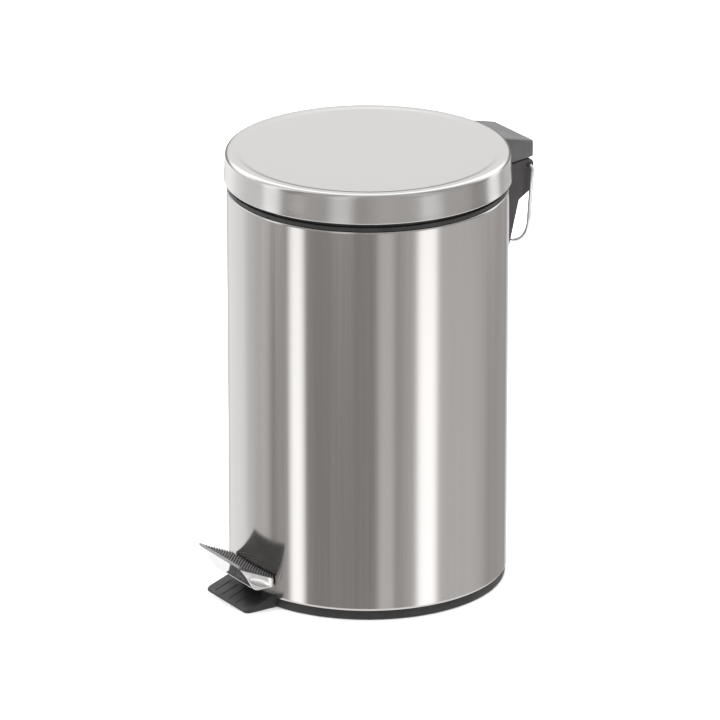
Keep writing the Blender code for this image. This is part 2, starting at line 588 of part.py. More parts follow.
cut(bucket, cylinder("bail_hole", BAIL_WIRE + GAP, (-0.125, 0, bail_z), (0.125, 0, bail_z), segments=24))
bail_points = [(-0.1207, 0, bail_z), (-BAIL_RADIUS - 0.0015, 0, bail_z)]
bail_points += [(BAIL_RADIUS * math.cos(a), BAIL_RADIUS * math.sin(a), bail_z)
                for a in [math.radians(183 + 174 * i / 40) for i in range(41)]]
bail_points += [(BAIL_RADIUS + 0.0015, 0, bail_z), (0.1207, 0, bail_z)]
wire("bucket_bail", bail_points, BAIL_WIRE, ZINC)

# ---- Carry handle ----------------------------------------------------------
corner = 0.0040
leg = [(HANDLE_END, HINGE_Z)]
leg += [(HANDLE_TOP_HALF - corner + corner * math.sin(a), HINGE_Z - corner + corner * math.cos(a))
        for a in [math.radians(18 * i) for i in range(6)]]
arc_half = HANDLE_LOW_HALF
arc_high = HANDLE_ARC_Z - HANDLE_BOTTOM
leg += [(arc_half * math.cos(a), HANDLE_ARC_Z - arc_high * math.sin(a))
        for a in [math.radians(7.5 * i) for i in range(13)]]
handle_points = [(x, HINGE_Y, z) for x, z in leg] + [(-x, HINGE_Y, z) for x, z in reversed(leg[:-1])]
wire("carry_handle", handle_points, HANDLE_WIRE, POLISHED)

for obj in parts.objects:
    if obj.type == "MESH":
        smooth(obj.data)
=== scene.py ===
"""Pedal trash can: a brushed steel can whose lid opens by a foot pedal.

Metres, +Z up.  The can's axis stands at the origin, the pedal points along -Y and
the hinge along +Y.  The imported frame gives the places, and this script the looks.
"""

import json
import math

import bmesh
import bpy
from mathutils import Matrix, Vector


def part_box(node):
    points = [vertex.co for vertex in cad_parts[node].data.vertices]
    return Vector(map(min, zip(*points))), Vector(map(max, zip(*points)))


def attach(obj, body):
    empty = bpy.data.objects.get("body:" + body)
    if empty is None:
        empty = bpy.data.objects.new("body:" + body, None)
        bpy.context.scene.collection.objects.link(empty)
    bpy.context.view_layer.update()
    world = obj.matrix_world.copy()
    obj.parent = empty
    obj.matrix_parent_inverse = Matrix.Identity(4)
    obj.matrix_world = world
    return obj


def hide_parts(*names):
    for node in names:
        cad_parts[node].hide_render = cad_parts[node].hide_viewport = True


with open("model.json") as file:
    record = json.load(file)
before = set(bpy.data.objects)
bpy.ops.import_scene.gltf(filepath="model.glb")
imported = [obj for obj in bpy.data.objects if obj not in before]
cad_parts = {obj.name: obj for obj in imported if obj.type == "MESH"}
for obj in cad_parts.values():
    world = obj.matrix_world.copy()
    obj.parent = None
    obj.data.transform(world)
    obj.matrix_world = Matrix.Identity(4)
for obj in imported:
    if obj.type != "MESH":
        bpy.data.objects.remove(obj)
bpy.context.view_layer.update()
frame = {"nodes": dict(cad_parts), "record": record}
joints = frame["record"]["behaviour"]["joints"]
hinge_at = {joint["name"]: Vector(joint.get("pos_m", (0, 0, 0))) for joint in joints}

# ---- Camera ----
# A long lens well back from the can, to the right of the pedal and a little
# above the lid, so that the can's upright edges stay almost parallel.
lid_low, lid_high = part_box("lid_shell")
VIEW_BEARING, VIEW_CLIMB, VIEW_DISTANCE = -32.8, 20.46, 6.235
LENS_LENGTH, LENS_SHIFT = 349.4, -0.0110
aim = Vector((0, 0, lid_high.z * 0.501))


def toward(bearing, climb):
    """The unit vector at a bearing from +X and a climb, both in degrees."""
    bearing, climb = math.radians(bearing), math.radians(climb)
    flat = math.cos(climb)
    return Vector((math.cos(bearing) * flat, math.sin(bearing) * flat, math.sin(climb)))


lens = bpy.data.cameras.new("camera")
lens.lens = LENS_LENGTH
lens.sensor_width = 36
lens.shift_x = LENS_SHIFT
camera = bpy.data.objects.new("camera", lens)
camera.location = aim + VIEW_DISTANCE * toward(VIEW_BEARING, VIEW_CLIMB)
camera.rotation_euler = toward(VIEW_BEARING, VIEW_CLIMB).to_track_quat("Z", "Y").to_euler()
bpy.context.scene.collection.objects.link(camera)
bpy.context.scene.camera = camera
bpy.context.scene.view_settings.view_transform = "Standard"

# ---- Studio ----
# A plain pale floor and soft panels all round, which the steel mirrors as
# upright bands.  The floor doesn't show in the steel: the panels stand there.
AMBIENT = 0.29
WALL_PANELS = [                       # bearing from the camera's, half width, brightness
    (-176, 26, 0.22), (-138, 34, 0.72), (-100, 16, 0.34), (-74, 10, 0.14), (-60.5, 9.5, 1.40),
    (15, 10, 0.38), (35, 14, 0.20), (50, 12, 1.18), (80, 52, 0.36), (140, 22, 0.16), (168, 13, 0.50)]
SKIRT_PANELS = [                      # the lid's skirt faces a little higher than the can's wall
    (-155, 42, 0.90), (-106, 24, 0.48), (-82, 12, 0.95), (-45, 18, 0.18), (-21, 13, 0.55), (20, 34, 0.20),
    (52, 13, 0.36), (76, 20, 0.16), (120, 13, 1.05), (152, 24, 0.46)]
WALL_TO_SKIRT = (-0.325, -0.285)      # the heights between which one set gives way to the other
GAP_HEIGHT, GAP_BEHIND, GAP_LIGHT = (-0.20, -0.12), (0.55, 0.85), 0.22
ROOF_HEIGHT, ROOF_BEHIND = (0.05, 0.28), (-0.1, 0.25)
FLOOR_HEIGHT, FLOOR_LIGHT = (-0.52, -0.42), 1.10
WARM = (1.0, 0.945, 0.905)            # the darker panels are a little warm


def node(tree, kind, inputs=None, **settings):
    """A node with its settings, and its inputs filled or joined."""
    made = tree.nodes.new(kind)
    for key, value in settings.items():
        setattr(made, key, value)
    for socket, value in (inputs or {}).items():
        if isinstance(value, bpy.types.NodeSocket):
            tree.links.new(value, made.inputs[socket])
        else:
            made.inputs[socket].default_value = value
    return made


def maths(tree, operation, *values):
    """The result of a Math node."""
    return node(tree, "ShaderNodeMath", dict(enumerate(values)), operation=operation).outputs[0]


def ramp(tree, value, low, high, to_low=0.0, to_high=1.0):
    """A smooth step from one level to another."""
    inputs = {"Value": value, "From Min": low, "From Max": high, "To Min": to_low, "To Max": to_high}
    made = node(tree, "ShaderNodeMapRange", inputs, interpolation_type="SMOOTHSTEP")
    return made.outputs[0]


def mixed(tree, factor, first, second):
    """A number, or a colour of three numbers, between two others."""
    if isinstance(first, (tuple, list)):
        inputs = {"Factor": factor, 6: (*first, 1.0), 7: (*second, 1.0)}
        return node(tree, "ShaderNodeMix", inputs, data_type="RGBA").outputs[2]
    inputs = {"Factor": factor, 2: first, 3: second}
    return node(tree, "ShaderNodeMix", inputs, data_type="FLOAT").outputs[0]


def reach(tree, place, way):
    """How far a place lies one way."""
    return node(tree, "ShaderNodeVectorMath", {0: place, 1: way}, operation="DOT_PRODUCT").outputs["Value"]


def from_grid(name, grid):
    """An object of the grid's points and faces, in the scene."""
    mesh = bpy.data.meshes.new(name)
    grid.to_mesh(mesh)
    grid.free()
    obj = bpy.data.objects.new(name, mesh)
    bpy.context.scene.collection.objects.link(obj)
    return obj


world = bpy.data.worlds.new("studio")
world.use_nodes = True
bpy.context.scene.world = world
sky = world.node_tree
looking = node(sky, "ShaderNodeTexCoord").outputs["Generated"]
height = node(sky, "ShaderNodeSeparateXYZ", {0: looking}).outputs["Z"]
level = node(sky, "ShaderNodeVectorMath", {0: looking, 1: (1, 1, 0)}, operation="MULTIPLY")
level = node(sky, "ShaderNodeVectorMath", {0: level.outputs[0]}, operation="NORMALIZE").outputs[0]


def panels(listed):
    """The brightness of upright panels, each fading out towards its sides."""
    total = AMBIENT
    for bearing, half, brightness in listed:
        facing = reach(sky, level, toward(VIEW_BEARING + bearing, 0))
        edge = math.cos(math.radians(half))
        middle = math.cos(math.radians(half * 0.15))
        total = maths(sky, "ADD", total, ramp(sky, facing, edge, middle, 0.0, brightness))
    return total


behind = reach(sky, looking, toward(VIEW_BEARING + 180, 0))
shine = mixed(sky, ramp(sky, height, *WALL_TO_SKIRT), panels(WALL_PANELS), panels(SKIRT_PANELS))
in_gap = maths(sky, "MULTIPLY", ramp(sky, height, *GAP_HEIGHT), ramp(sky, behind, *GAP_BEHIND))
shine = mixed(sky, in_gap, shine, GAP_LIGHT)
overhead = mixed(sky, ramp(sky, behind, 0.70, 0.88), ramp(sky, behind, 0.05, 0.55, 0.55, 1.65), 0.97)
on_roof = maths(sky, "MULTIPLY", ramp(sky, height, *ROOF_HEIGHT), ramp(sky, behind, *ROOF_BEHIND))
shine = mixed(sky, on_roof, shine, overhead)
shine = mixed(sky, ramp(sky, height, *FLOOR_HEIGHT), FLOOR_LIGHT, shine)
tint = mixed(sky, ramp(sky, shine, 0.25, 0.85), WARM, (1.0, 1.0, 1.0))
seen = node(sky, "ShaderNodeLightPath").outputs["Is Camera Ray"]
background = sky.nodes["Background"]
sky.links.new(tint, background.inputs["Color"])
sky.links.new(mixed(sky, seen, shine, 1.0), background.inputs["Strength"])

lamp = bpy.data.lights.new("ceiling_panel", "AREA")
lamp.shape = "DISK"
lamp.size = 3.0
lamp.energy = 175
ceiling = bpy.data.objects.new("ceiling_panel", lamp)
ceiling.location = (0, 0, 3.0)
ceiling.visible_glossy = False
bpy.context.scene.collection.objects.link(ceiling)

grid = bmesh.new()
bmesh.ops.create_circle(grid, cap_ends=True, radius=9.0, segments=96)
floor = from_grid("floor", grid)
floor.visible_glossy = False
pale = bpy.data.materials.new("pale_floor")
pale.use_nodes = True
pale_shader = pale.node_tree.nodes["Principled BSDF"]
pale_shader.inputs["Base Color"].default_value = (0.93, 0.93, 0.93, 1)
pale_shader.inputs["Roughness"].default_value = 0.8
floor.data.materials.append(pale)

# ---- Base ----
# One moulding of black polypropylene: a floor, a ring that stands proud of the
# floor, a collar that the can is pressed on to, two posts for the pedal's pin,
# and a sloping foot in front that stops the can from tipping.
base_low, base_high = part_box("base")
body_low, body_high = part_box("body_shell")
BASE_OUTER = base_high.x
RING_TOP = body_low.z - 0.0003
COLLAR_OUTER = 0.1221
COLLAR_TOP = 0.0190
FLOOR_UPPER, FLOOR_UNDER = 0.0055, 0.0030
RING_INNER = 0.1170
FOOT_HALF, FOOT_CORNER = 0.0345, 0.005
FOOT_FRONT, FOOT_BACK = -base_low.y, 0.108
FOOT_TOP, FOOT_TOP_AT, FOOT_LIP = 0.0112, 0.1241, 0.0018
POST_INNER, POST_OUTER = 0.013, 0.019
PIVOT_BORE = 0.00255
NOTCH_HALF = 0.016
CLEAR = 0.0003
WELD = 0.000005


def arc(centre, radius, start, end, count=5):
    """Points on an arc, angles in degrees."""
    turns = [math.radians(start + (end - start) * i / count) for i in range(count + 1)]
    return [(centre[0] + radius * math.cos(a), centre[1] + radius * math.sin(a)) for a in turns]


def turned(name, profile, steps=256, closed=True, turns=None):
    """A closed profile of (radius, height) turned about Z; radius 0 is on the axis."""
    turns = turns or [2 * math.pi * i / steps for i in range(steps)]
    grid = bmesh.new()
    rings = []
    for radius, at in profile:
        around = turns if radius else [0.0]
        rings.append([grid.verts.new((radius * math.cos(a), radius * math.sin(a), at)) for a in around])
    for upper, lower in zip(rings, rings[1:] + rings[:1] if closed else rings[1:]):
        for i in range(len(turns)):
            k = (i + 1) % len(turns)
            corners = [upper[i % len(upper)], lower[i % len(lower)],
                       lower[k % len(lower)], upper[k % len(upper)]]
            corners = list(dict.fromkeys(corners))
            if len(corners) > 2:
                grid.faces.new(corners)
    bmesh.ops.recalc_face_normals(grid, faces=grid.faces)
    return from_grid(name, grid)


def prism(name, outline, low, high, along="Z"):
    """A flat outline pulled from low to high: X and Y along Z, or Y and Z along X."""
    order = {"X": (2, 0, 1), "Y": (0, 2, 1), "Z": (0, 1, 2)}[along]
    grid = bmesh.new()
    ends = []
    for far in (low, high):
        ends.append([grid.verts.new([(u, v, far)[i] for i in order]) for u, v in outline])
        grid.faces.new(ends[-1])
    first, second = ends
    for i in range(len(outline)):
        k = (i + 1) % len(outline)
        grid.faces.new([first[i], first[k], second[k], second[i]])
    bmesh.ops.recalc_face_normals(grid, faces=grid.faces)
    return from_grid(name, grid)


def block(name, low, high):
    """A block between two corners, for cutting or joining."""
    plan = [(low[0], low[1]), (high[0], low[1]), (high[0], high[1]), (low[0], high[1])]
    return prism(name, plan, low[2], high[2])


def bar(name, radius, start, end, sides=40, chamfer=0.0):
    """A round bar between two points, with its ends chamfered if asked."""
    start, end = Vector(start), Vector(end)
    long = (end - start).length
    line = [(radius, 0), (radius, long)]
    if chamfer:
        line = [(radius - chamfer, 0), (radius, chamfer), (radius, long - chamfer), (radius - chamfer, long)]
    obj = turned(name, [(0, 0), *line, (0, long)], steps=sides, closed=False)
    obj.data.transform((end - start).to_track_quat("Z", "Y").to_matrix().to_4x4())
    obj.data.transform(Matrix.Translation(start))
    return obj


def cross_bar(name, radius, at, start, end, sides=40):
    """A round bar along X, at a place's height and depth."""
    return bar(name, radius, (start, at.y, at.z), (end, at.y, at.z), sides)


def combine(obj, operation, *tools):
    """Join the tools to a piece, or cut them from it, and remove them."""
    for tool in tools:
        step = obj.modifiers.new(tool.name, "BOOLEAN")
        step.operation = operation
        step.solver = "EXACT"
        step.object = tool
    return settled(obj, *tools)


def bevel(obj, width, segments=3, angle=40):
    """Rounded edges wherever two faces meet at more than the angle."""
    step = obj.modifiers.new("rounded", "BEVEL")
    step.width = width
    step.segments = segments
    step.limit_method = "ANGLE"
    step.angle_limit = math.radians(angle)
    return settled(obj)


def welded(obj):
    """The object's mesh with its modifiers made real, and the grid of its welded points."""
    bpy.context.view_layer.update()
    graph = bpy.context.evaluated_depsgraph_get()
    mesh = bpy.data.meshes.new_from_object(obj.evaluated_get(graph))
    grid = bmesh.new()
    grid.from_mesh(mesh)
    bmesh.ops.remove_doubles(grid, verts=grid.verts, dist=WELD)
    return mesh, grid


def settled(obj, *tools):
    """The piece with its modifiers made real, and its tools removed."""
    mesh, grid = welded(obj)
    obj.modifiers.clear()
    obj.data = mesh
    grid.to_mesh(mesh)
    grid.free()
    for tool in tools:
        bpy.data.objects.remove(tool, do_unlink=True)
    return obj


def finished(obj, material, body, slot, *nodes, angle=32):
    """Smooth shading with crisp edges, the finish, and the place in the frame."""
    obj.data.shade_smooth()
    obj.data.set_sharp_from_angle(angle=math.radians(angle))
    obj.data.materials.clear()
    obj.data.materials.append(material)
    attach(obj, body)
    if nodes:
        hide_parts(*nodes)
    return obj


def noise(tree, where, scale, detail=2.0, roughness=0.5):
    """A cloudy value from 0 to 1."""
    inputs = {"Vector": where, "Scale": scale, "Detail": detail, "Roughness": roughness}
    return node(tree, "ShaderNodeTexNoise", inputs).outputs["Fac"]


def coating(name):
    """A new material, its tree, and the places on the piece."""
    material = bpy.data.materials.new(name)
    material.use_nodes = True
    tree = material.node_tree
    return material, tree, node(tree, "ShaderNodeTexCoord").outputs["Object"]


def coat(tree, colour, roughness, relief=None, strength=0.3, depth=0.0):
    """Join the colour, the roughness and the relief to the shader."""
    shader = tree.nodes["Principled BSDF"]
    tree.links.new(colour, shader.inputs["Base Color"])
    tree.links.new(roughness, shader.inputs["Roughness"])
    if depth:
        bump = node(tree, "ShaderNodeBump", {"Height": relief, "Strength": strength, "Distance": depth})
        tree.links.new(bump.outputs[0], shader.inputs["Normal"])
    return shader


def plastic(name, colour, roughness, grain=0.00008, paler=1.5):
    """A moulded plastic with a spark-eroded texture and slight scuffing."""
    material, tree, where = coating(name)
    cloud = noise(tree, where, 60.0, 5.0)
    scuffed = mixed(tree, ramp(tree, cloud, 0.35, 0.75), colour, [c * paler for c in colour])
    gloss = ramp(tree, cloud, 0.3, 0.7, roughness + 0.06, roughness - 0.04)
    coat(tree, scuffed, gloss, noise(tree, where, 1900.0), 0.35, grain)
    return material


black_plastic = plastic("black_polypropylene", (0.020, 0.0195, 0.0195), 0.42)

base = turned("base_moulding", [
    (0, FLOOR_UPPER), (0.1190, FLOOR_UPPER), (0.1195, FLOOR_UPPER + 0.0006), (0.1195, COLLAR_TOP - 0.0004),
    (0.1199, COLLAR_TOP), (COLLAR_OUTER - 0.0008, COLLAR_TOP), (COLLAR_OUTER, COLLAR_TOP - 0.0008),
    (COLLAR_OUTER, RING_TOP)] + arc((BASE_OUTER - 0.0006, RING_TOP - 0.0006), 0.0006, 90, 0, 4)
    + arc((BASE_OUTER - 0.0012, 0.0012), 0.0012, 0, -90, 5) + [
    (RING_INNER + 0.0004, 0), (RING_INNER, 0.0004), (RING_INNER, FLOOR_UNDER), (0, FLOOR_UNDER)],
    closed=False, steps=192)
plan = [(FOOT_HALF, -FOOT_BACK)]
plan += arc((FOOT_HALF - FOOT_CORNER, FOOT_CORNER - FOOT_FRONT), FOOT_CORNER, 0, -90, 8)
plan += arc((FOOT_CORNER - FOOT_HALF, FOOT_CORNER - FOOT_FRONT), FOOT_CORNER, -90, -180, 8)
plan += [(-FOOT_HALF, -FOOT_BACK)]
foot = prism("foot", plan, 0.0, 0.020)
fall = (FOOT_TOP - FOOT_LIP) / (FOOT_FRONT - FOOT_TOP_AT)
slope = [(-FOOT_FRONT - 0.01, FOOT_LIP - 0.01 * fall), (-FOOT_TOP_AT, FOOT_TOP), (-0.09, FOOT_TOP),
         (-0.09, 0.05), (-FOOT_FRONT - 0.01, 0.05)]
combine(foot, "DIFFERENCE", prism("foot_slope", slope, -0.05, 0.05, along="X"))
bevel(foot, 0.0007, 3, 25)
combine(base, "UNION", foot)
pivot = hinge_at["pedal_pivot"]
for side in (-1, 1):
    inner, outer = sorted((side * POST_INNER, side * POST_OUTER))
    post = [(pivot.y - 0.007, FLOOR_UNDER + 0.0005), (pivot.y + 0.007, FLOOR_UNDER + 0.0005)]
    post += arc((pivot.y, pivot.z), 0.005, 0, 180, 12)
    post = [post[0], post[1], (pivot.y + 0.0065, 0.008)] + post[2:] + [(pivot.y - 0.0065, 0.008)]
    combine(base, "UNION", prism("post", post, inner, outer, along="X"))
combine(base, "DIFFERENCE",
        cross_bar("pin_hole", PIVOT_BORE, pivot, -0.03, 0.03),
        block("lever_notch", (-NOTCH_HALF, -0.131, 0.0110), (NOTCH_HALF, -0.10, 0.03)),
        block("rod_notch", (-0.0075, 0.110, FLOOR_UPPER), (0.0075, 0.1215, 0.03)))
finished(base, black_plastic, "can", "black_plastic", "base", angle=30)


def grown(name, tree_name, inputs, build, material):
    """A mesh grown by Geometry Nodes, with named inputs, made plain."""
    tree = bpy.data.node_groups.new(tree_name, "GeometryNodeTree")
    kinds = {float: "NodeSocketFloat", int: "NodeSocketInt", tuple: "NodeSocketVector",
             bpy.types.Material: "NodeSocketMaterial", bpy.types.Object: "NodeSocketObject"}
    inputs = dict(inputs, Finish=material)
    for label, value in inputs.items():
        tree.interface.new_socket(label, in_out="INPUT", socket_type=kinds[type(value)])
    tree.interface.new_socket("Geometry", in_out="OUTPUT", socket_type="NodeSocketGeometry")
    given = node(tree, "NodeGroupInput")
    shape = build(tree, given.outputs)
    real = node(tree, "GeometryNodeRealizeInstances", {0: shape}).outputs[0]
    coated = node(tree, "GeometryNodeSetMaterial", {0: real, "Material": given.outputs["Finish"]}).outputs[0]
    node(tree, "NodeGroupOutput", {0: coated})
    obj = from_grid(name, bmesh.new())
    step = obj.modifiers.new("grown", "NODES")
    step.node_group = tree
    for item in tree.interface.items_tree:
        if item.in_out == "INPUT":
            step[item.identifier] = inputs[item.name]
    return settled(obj)


def vector(tree, x=0.0, y=0.0, z=0.0):
    """Three numbers as one vector."""
    return node(tree, "ShaderNodeCombineXYZ", {0: x, 1: y, 2: z}).outputs[0]


def set_on(tree, spots, shape, turn):
    """The shape on every spot, turned."""
    return node(tree, "GeometryNodeInstanceOnPoints", {"Points": spots, "Instance": shape,
                "Rotation": turn}).outputs[0]


def ring_of_blocks(tree, given):
    """Like blocks round the axis, each turned towards it."""
    shape = node(tree, "GeometryNodeMeshCube", {"Size": given["Size"]}).outputs["Mesh"]
    circle = {"Vertices": given["Count"], "Radius": given["Radius"]}
    spots = node(tree, "GeometryNodeMeshCircle", circle).outputs[0]
    turn = maths(tree, "MULTIPLY", node(tree, "GeometryNodeInputIndex").outputs[0],
                 maths(tree, "DIVIDE", 2 * math.pi, given["Count"]))
    placed = set_on(tree, spots, shape, vector(tree, z=turn))
    return node(tree, "GeometryNodeSetPosition", {"Geometry": placed,
                "Offset": vector(tree, z=given["Level"])}).outputs[0]


WEB_DEPTH = FLOOR_UNDER - 0.0002
webs = grown("base_webs", "webs under the floor",
             {"Count": 16, "Radius": 0.0750, "Size": (0.0830, 0.0016, WEB_DEPTH),
              "Level": FLOOR_UNDER + 0.0004 - WEB_DEPTH / 2}, ring_of_blocks, black_plastic)
finished(webs, black_plastic, "can", "black_plastic")


def row(tree, given, shape, turn):
    """The shape in a straight row, every one turned alike."""
    line = node(tree, "GeometryNodeMeshLine", {"Count": given["Count"], "Start Location": given["First"],
                "Offset": given["Step"]}).outputs[0]
    return set_on(tree, line, shape, turn)


def foot_ribs(tree, given):
    """Low ribs from the foot's front edge up its slope."""
    rib = node(tree, "GeometryNodeMeshCube", {"Size": given["Size"]}).outputs["Mesh"]
    return row(tree, given, rib, vector(tree, x=given["Slope"]))


RIB_COUNT, RIB_PITCH, RIBS_END = 5, 0.0115, 0.1300
rib_mid = (FOOT_FRONT + RIBS_END) / 2 - 0.0010
rib_level = FOOT_LIP + fall * (FOOT_FRONT - rib_mid)
ribs = grown("foot_ribs", "ribs on the foot",
             {"Count": RIB_COUNT, "Step": (RIB_PITCH, 0.0, 0.0), "Slope": math.atan(fall),
              "Size": (0.0011, (FOOT_FRONT - RIBS_END) * 0.86, 0.0006),
              "First": (RIB_PITCH * (1 - RIB_COUNT) / 2, -rib_mid, rib_level)}, foot_ribs, black_plastic)
bevel(ribs, 0.00025, 2)
finished(ribs, black_plastic, "can", "black_plastic")

# ---- Can body ----
# Stainless sheet rolled to a tube and welded up the back, with an upright
# brushed grain.  Its mouth is rolled over to a bright bead, and its lower end
# is cut out in front for the foot and the pedal's lever.
BODY_OUTER = body_high.x
SHEET = 0.0006
BEAD = 0.0011
LIP_IN = 0.0025
lever_low, lever_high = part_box("pedal_lever")
FOOT_CUT = FOOT_TOP + CLEAR
LEVER_CUT = lever_high.z + 0.0035
SLOT_HALF, SLOT_LOW, SLOT_HIGH = 0.004, 0.277, 0.328


def steel(name, colour, roughness, stretch, line_depth, spread=0.02, cast=0.03):
    """Brushed sheet: streaks in tone, gloss and height, long in one direction."""
    material, tree, where = coating(name)
    drawn = node(tree, "ShaderNodeMapping", {"Vector": where, "Scale": stretch}).outputs[0]
    grain = noise(tree, drawn, 1.0, 4.0, 0.65)
    wider = [s * 0.12 for s in stretch]
    bands = noise(tree, node(tree, "ShaderNodeMapping", {"Vector": where, "Scale": wider}).outputs[0], 1.0)
    both = maths(tree, "ADD", maths(tree, "MULTIPLY", grain, 0.6), maths(tree, "MULTIPLY", bands, 0.4))
    lighter = [min(c * (1 + cast), 1.0) for c in colour]
    tone = mixed(tree, ramp(tree, both, 0.32, 0.68), [c * (1 - cast) for c in colour], lighter)
    gloss = ramp(tree, both, 0.3, 0.7, roughness - spread, roughness + spread)
    coat(tree, tone, gloss, grain, 0.3, line_depth).inputs["Metallic"].default_value = 1.0
    return material


def sheeted(obj, outward):
    """The surface given the sheet's thickness, on its inner side."""
    wall = obj.modifiers.new("sheet", "SOLIDIFY")
    wall.thickness = SHEET
    wall.offset = -1 if outward > 0 else 1
    wall.use_even_offset = True
    return settled(obj)


brushed_body = steel("brushed_stainless_body", (0.62, 0.603, 0.592), 0.135, (900, 900, 5), 0.000003)


def edged_turns(steps, edges):
    """Even turns round the can, with the nearest ones moved on to the edges of its cut-outs."""
    turns = [2 * math.pi * i / steps for i in range(steps)]
    for edge in edges:
        edge %= 2 * math.pi
        nearest = min(range(steps), key=lambda i: abs(turns[i] - edge))
        turns[nearest] = edge
    return turns


foot_turn = math.asin((FOOT_HALF + CLEAR) / BODY_OUTER)
lever_turn = math.asin(NOTCH_HALF / BODY_OUTER)
slot_turn = math.asin(SLOT_HALF / BODY_OUTER)
front, back = -math.pi / 2, math.pi / 2
turns = edged_turns(288, [front + side * t for side in (-1, 1) for t in (foot_turn, lever_turn)]
                    + [back - slot_turn, back + slot_turn])
top, low = body_high.z, body_low.z
sheet_line = [(BODY_OUTER - LIP_IN, top)]
sheet_line += arc((BODY_OUTER - BEAD, top - BEAD), BEAD, 90, 0, 8)
wall_levels = (top - BEAD - 0.0008, SLOT_HIGH, SLOT_LOW, 0.15, LEVER_CUT, FOOT_CUT, low + 0.0008)
sheet_line += [(BODY_OUTER, at) for at in wall_levels] + [(BODY_OUTER - 0.0002, low)]
body = turned("can_body", sheet_line, closed=False, turns=turns)


def wall_cut(obj, middle, half_turn, lower, upper):
    """Remove the sheet's faces inside a cut-out."""
    grid = bmesh.new()
    grid.from_mesh(obj.data)
    gone = []
    for face in grid.faces:
        centre = face.calc_center_median()
        turn = (math.atan2(centre.y, centre.x) - middle + math.pi) % (2 * math.pi) - math.pi
        if abs(turn) < half_turn and lower < centre.z < upper:
            gone.append(face)
    bmesh.ops.delete(grid, geom=gone, context="FACES")
    grid.to_mesh(obj.data)
    grid.free()


wall_cut(body, front, foot_turn, 0.0, FOOT_CUT)
wall_cut(body, front, lever_turn, 0.0, LEVER_CUT)
wall_cut(body, back, slot_turn, SLOT_LOW, SLOT_HIGH)
sheeted(body, sum(v.normal.to_3d().dot(Vector((v.co.x, v.co.y, 0))) for v in body.data.vertices))
finished(body, brushed_body, "can", "brushed_body", "body_shell", angle=50)

# ---- Top rim ----
# A black polypropylene ring pressed into the can's mouth.  It covers the
# rolled edge, and its inner shelf carries the bucket's flange.
rim_low, rim_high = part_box("top_rim")
RIM_OUTER = rim_high.x
rim_top = rim_high.z
NECK, STEP = 0.1226, 0.3684          # the upper half is stepped in under the lid
rim = turned("top_rim_moulding", [
    (NECK - 0.0004, rim_top), (NECK, rim_top - 0.0004), (NECK, STEP + 0.0002), (NECK + 0.0002, STEP)]
    + arc((RIM_OUTER - 0.0006, STEP - 0.0006), 0.0006, 90, 0, 4) + [
    (RIM_OUTER, top + CLEAR + 0.0003), (RIM_OUTER - 0.0003, top + CLEAR), (0.1229, top + CLEAR),
    (0.1229, 0.3537), (0.1223, rim_low.z), (0.1212, rim_low.z), (0.1208, 0.3535), (0.1208, 0.3600),
    (0.1183, 0.3637), (0.1180, 0.3643), (0.1180, 0.3683), (0.1183, 0.3686), (0.1213, 0.3686),
    (0.1216, 0.3689), (0.1216, rim_top - 0.0003), (0.1219, rim_top)], steps=192)
finished(rim, black_plastic, "can", "black_plastic", "top_rim")

# ---- Hinge bracket ----
# A dark grey moulding screwed to the back of the can from inside.  It is
# hollow, with a knuckle on each side for the pin and the handle's ends.
bracket_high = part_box("hinge_bracket")[1]
axis = hinge_at["lid_hinge"]
BLOCK_HALF = bracket_high.x
BLOCK_WALL = 0.0025
KNUCKLE = 0.0058
BOSS_INNER = 0.0240
PIN_HOLE = 0.00245
HANDLE_HOLE = 0.00205
SCREW_POST, SCREW_HOLE = 0.0042, 0.0022
SCREW_SPLIT = 0.32                   # two screws above this height, two below it
HEAD_THICK = 0.0018
grey_plastic = plastic("dark_grey_moulding", (0.043, 0.040, 0.040), 0.46, 0.00010, 1.25)
side_line = [(0.112, 0.3665)] + arc((axis.y, axis.z), KNUCKLE, 90, -8, 16)
side_line += [(0.1534, 0.3414), (0.1405, 0.3335), (0.1331, 0.3031), (0.112, 0.2164)]
hollow_line = [(0.100, 0.39), (0.1531, 0.39), (0.1531, 0.363), (0.1509, 0.343), (0.1383, 0.3353),
               (0.1305, 0.3031), (0.100, 0.1778)]
bracket = prism("hinge_bracket_moulding", side_line, -BLOCK_HALF, BLOCK_HALF, along="X")
bevel(bracket, 0.0013, 4, 30)
combine(bracket, "DIFFERENCE",
        prism("bracket_hollow", hollow_line, BLOCK_WALL - BLOCK_HALF, BLOCK_HALF - BLOCK_WALL, along="X"))
for side in (-1, 1):
    ends = side * BOSS_INNER, side * (BLOCK_HALF - 0.001)
    combine(bracket, "UNION", cross_bar("knuckle", KNUCKLE - 0.0001, axis, *ends, 48))


def screw_places(prefix):
    """The screws' nodes, and the places where their heads meet the sheet."""
    nodes = [name for name in frame["nodes"] if name.startswith(prefix)]
    spots = []
    for name in sorted(nodes):
        screw_low, screw_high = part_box(name)
        middle = (screw_low + screw_high) / 2
        spots.append(Vector((middle.x, screw_low.y + HEAD_THICK, middle.z)))
    return nodes, spots


def bars(name, radius, spots, start, end, sides=40):
    """A round bar along Y through every spot."""
    return [bar(name, radius, (spot.x, start, spot.z), (spot.x, end, spot.z), sides) for spot in spots]


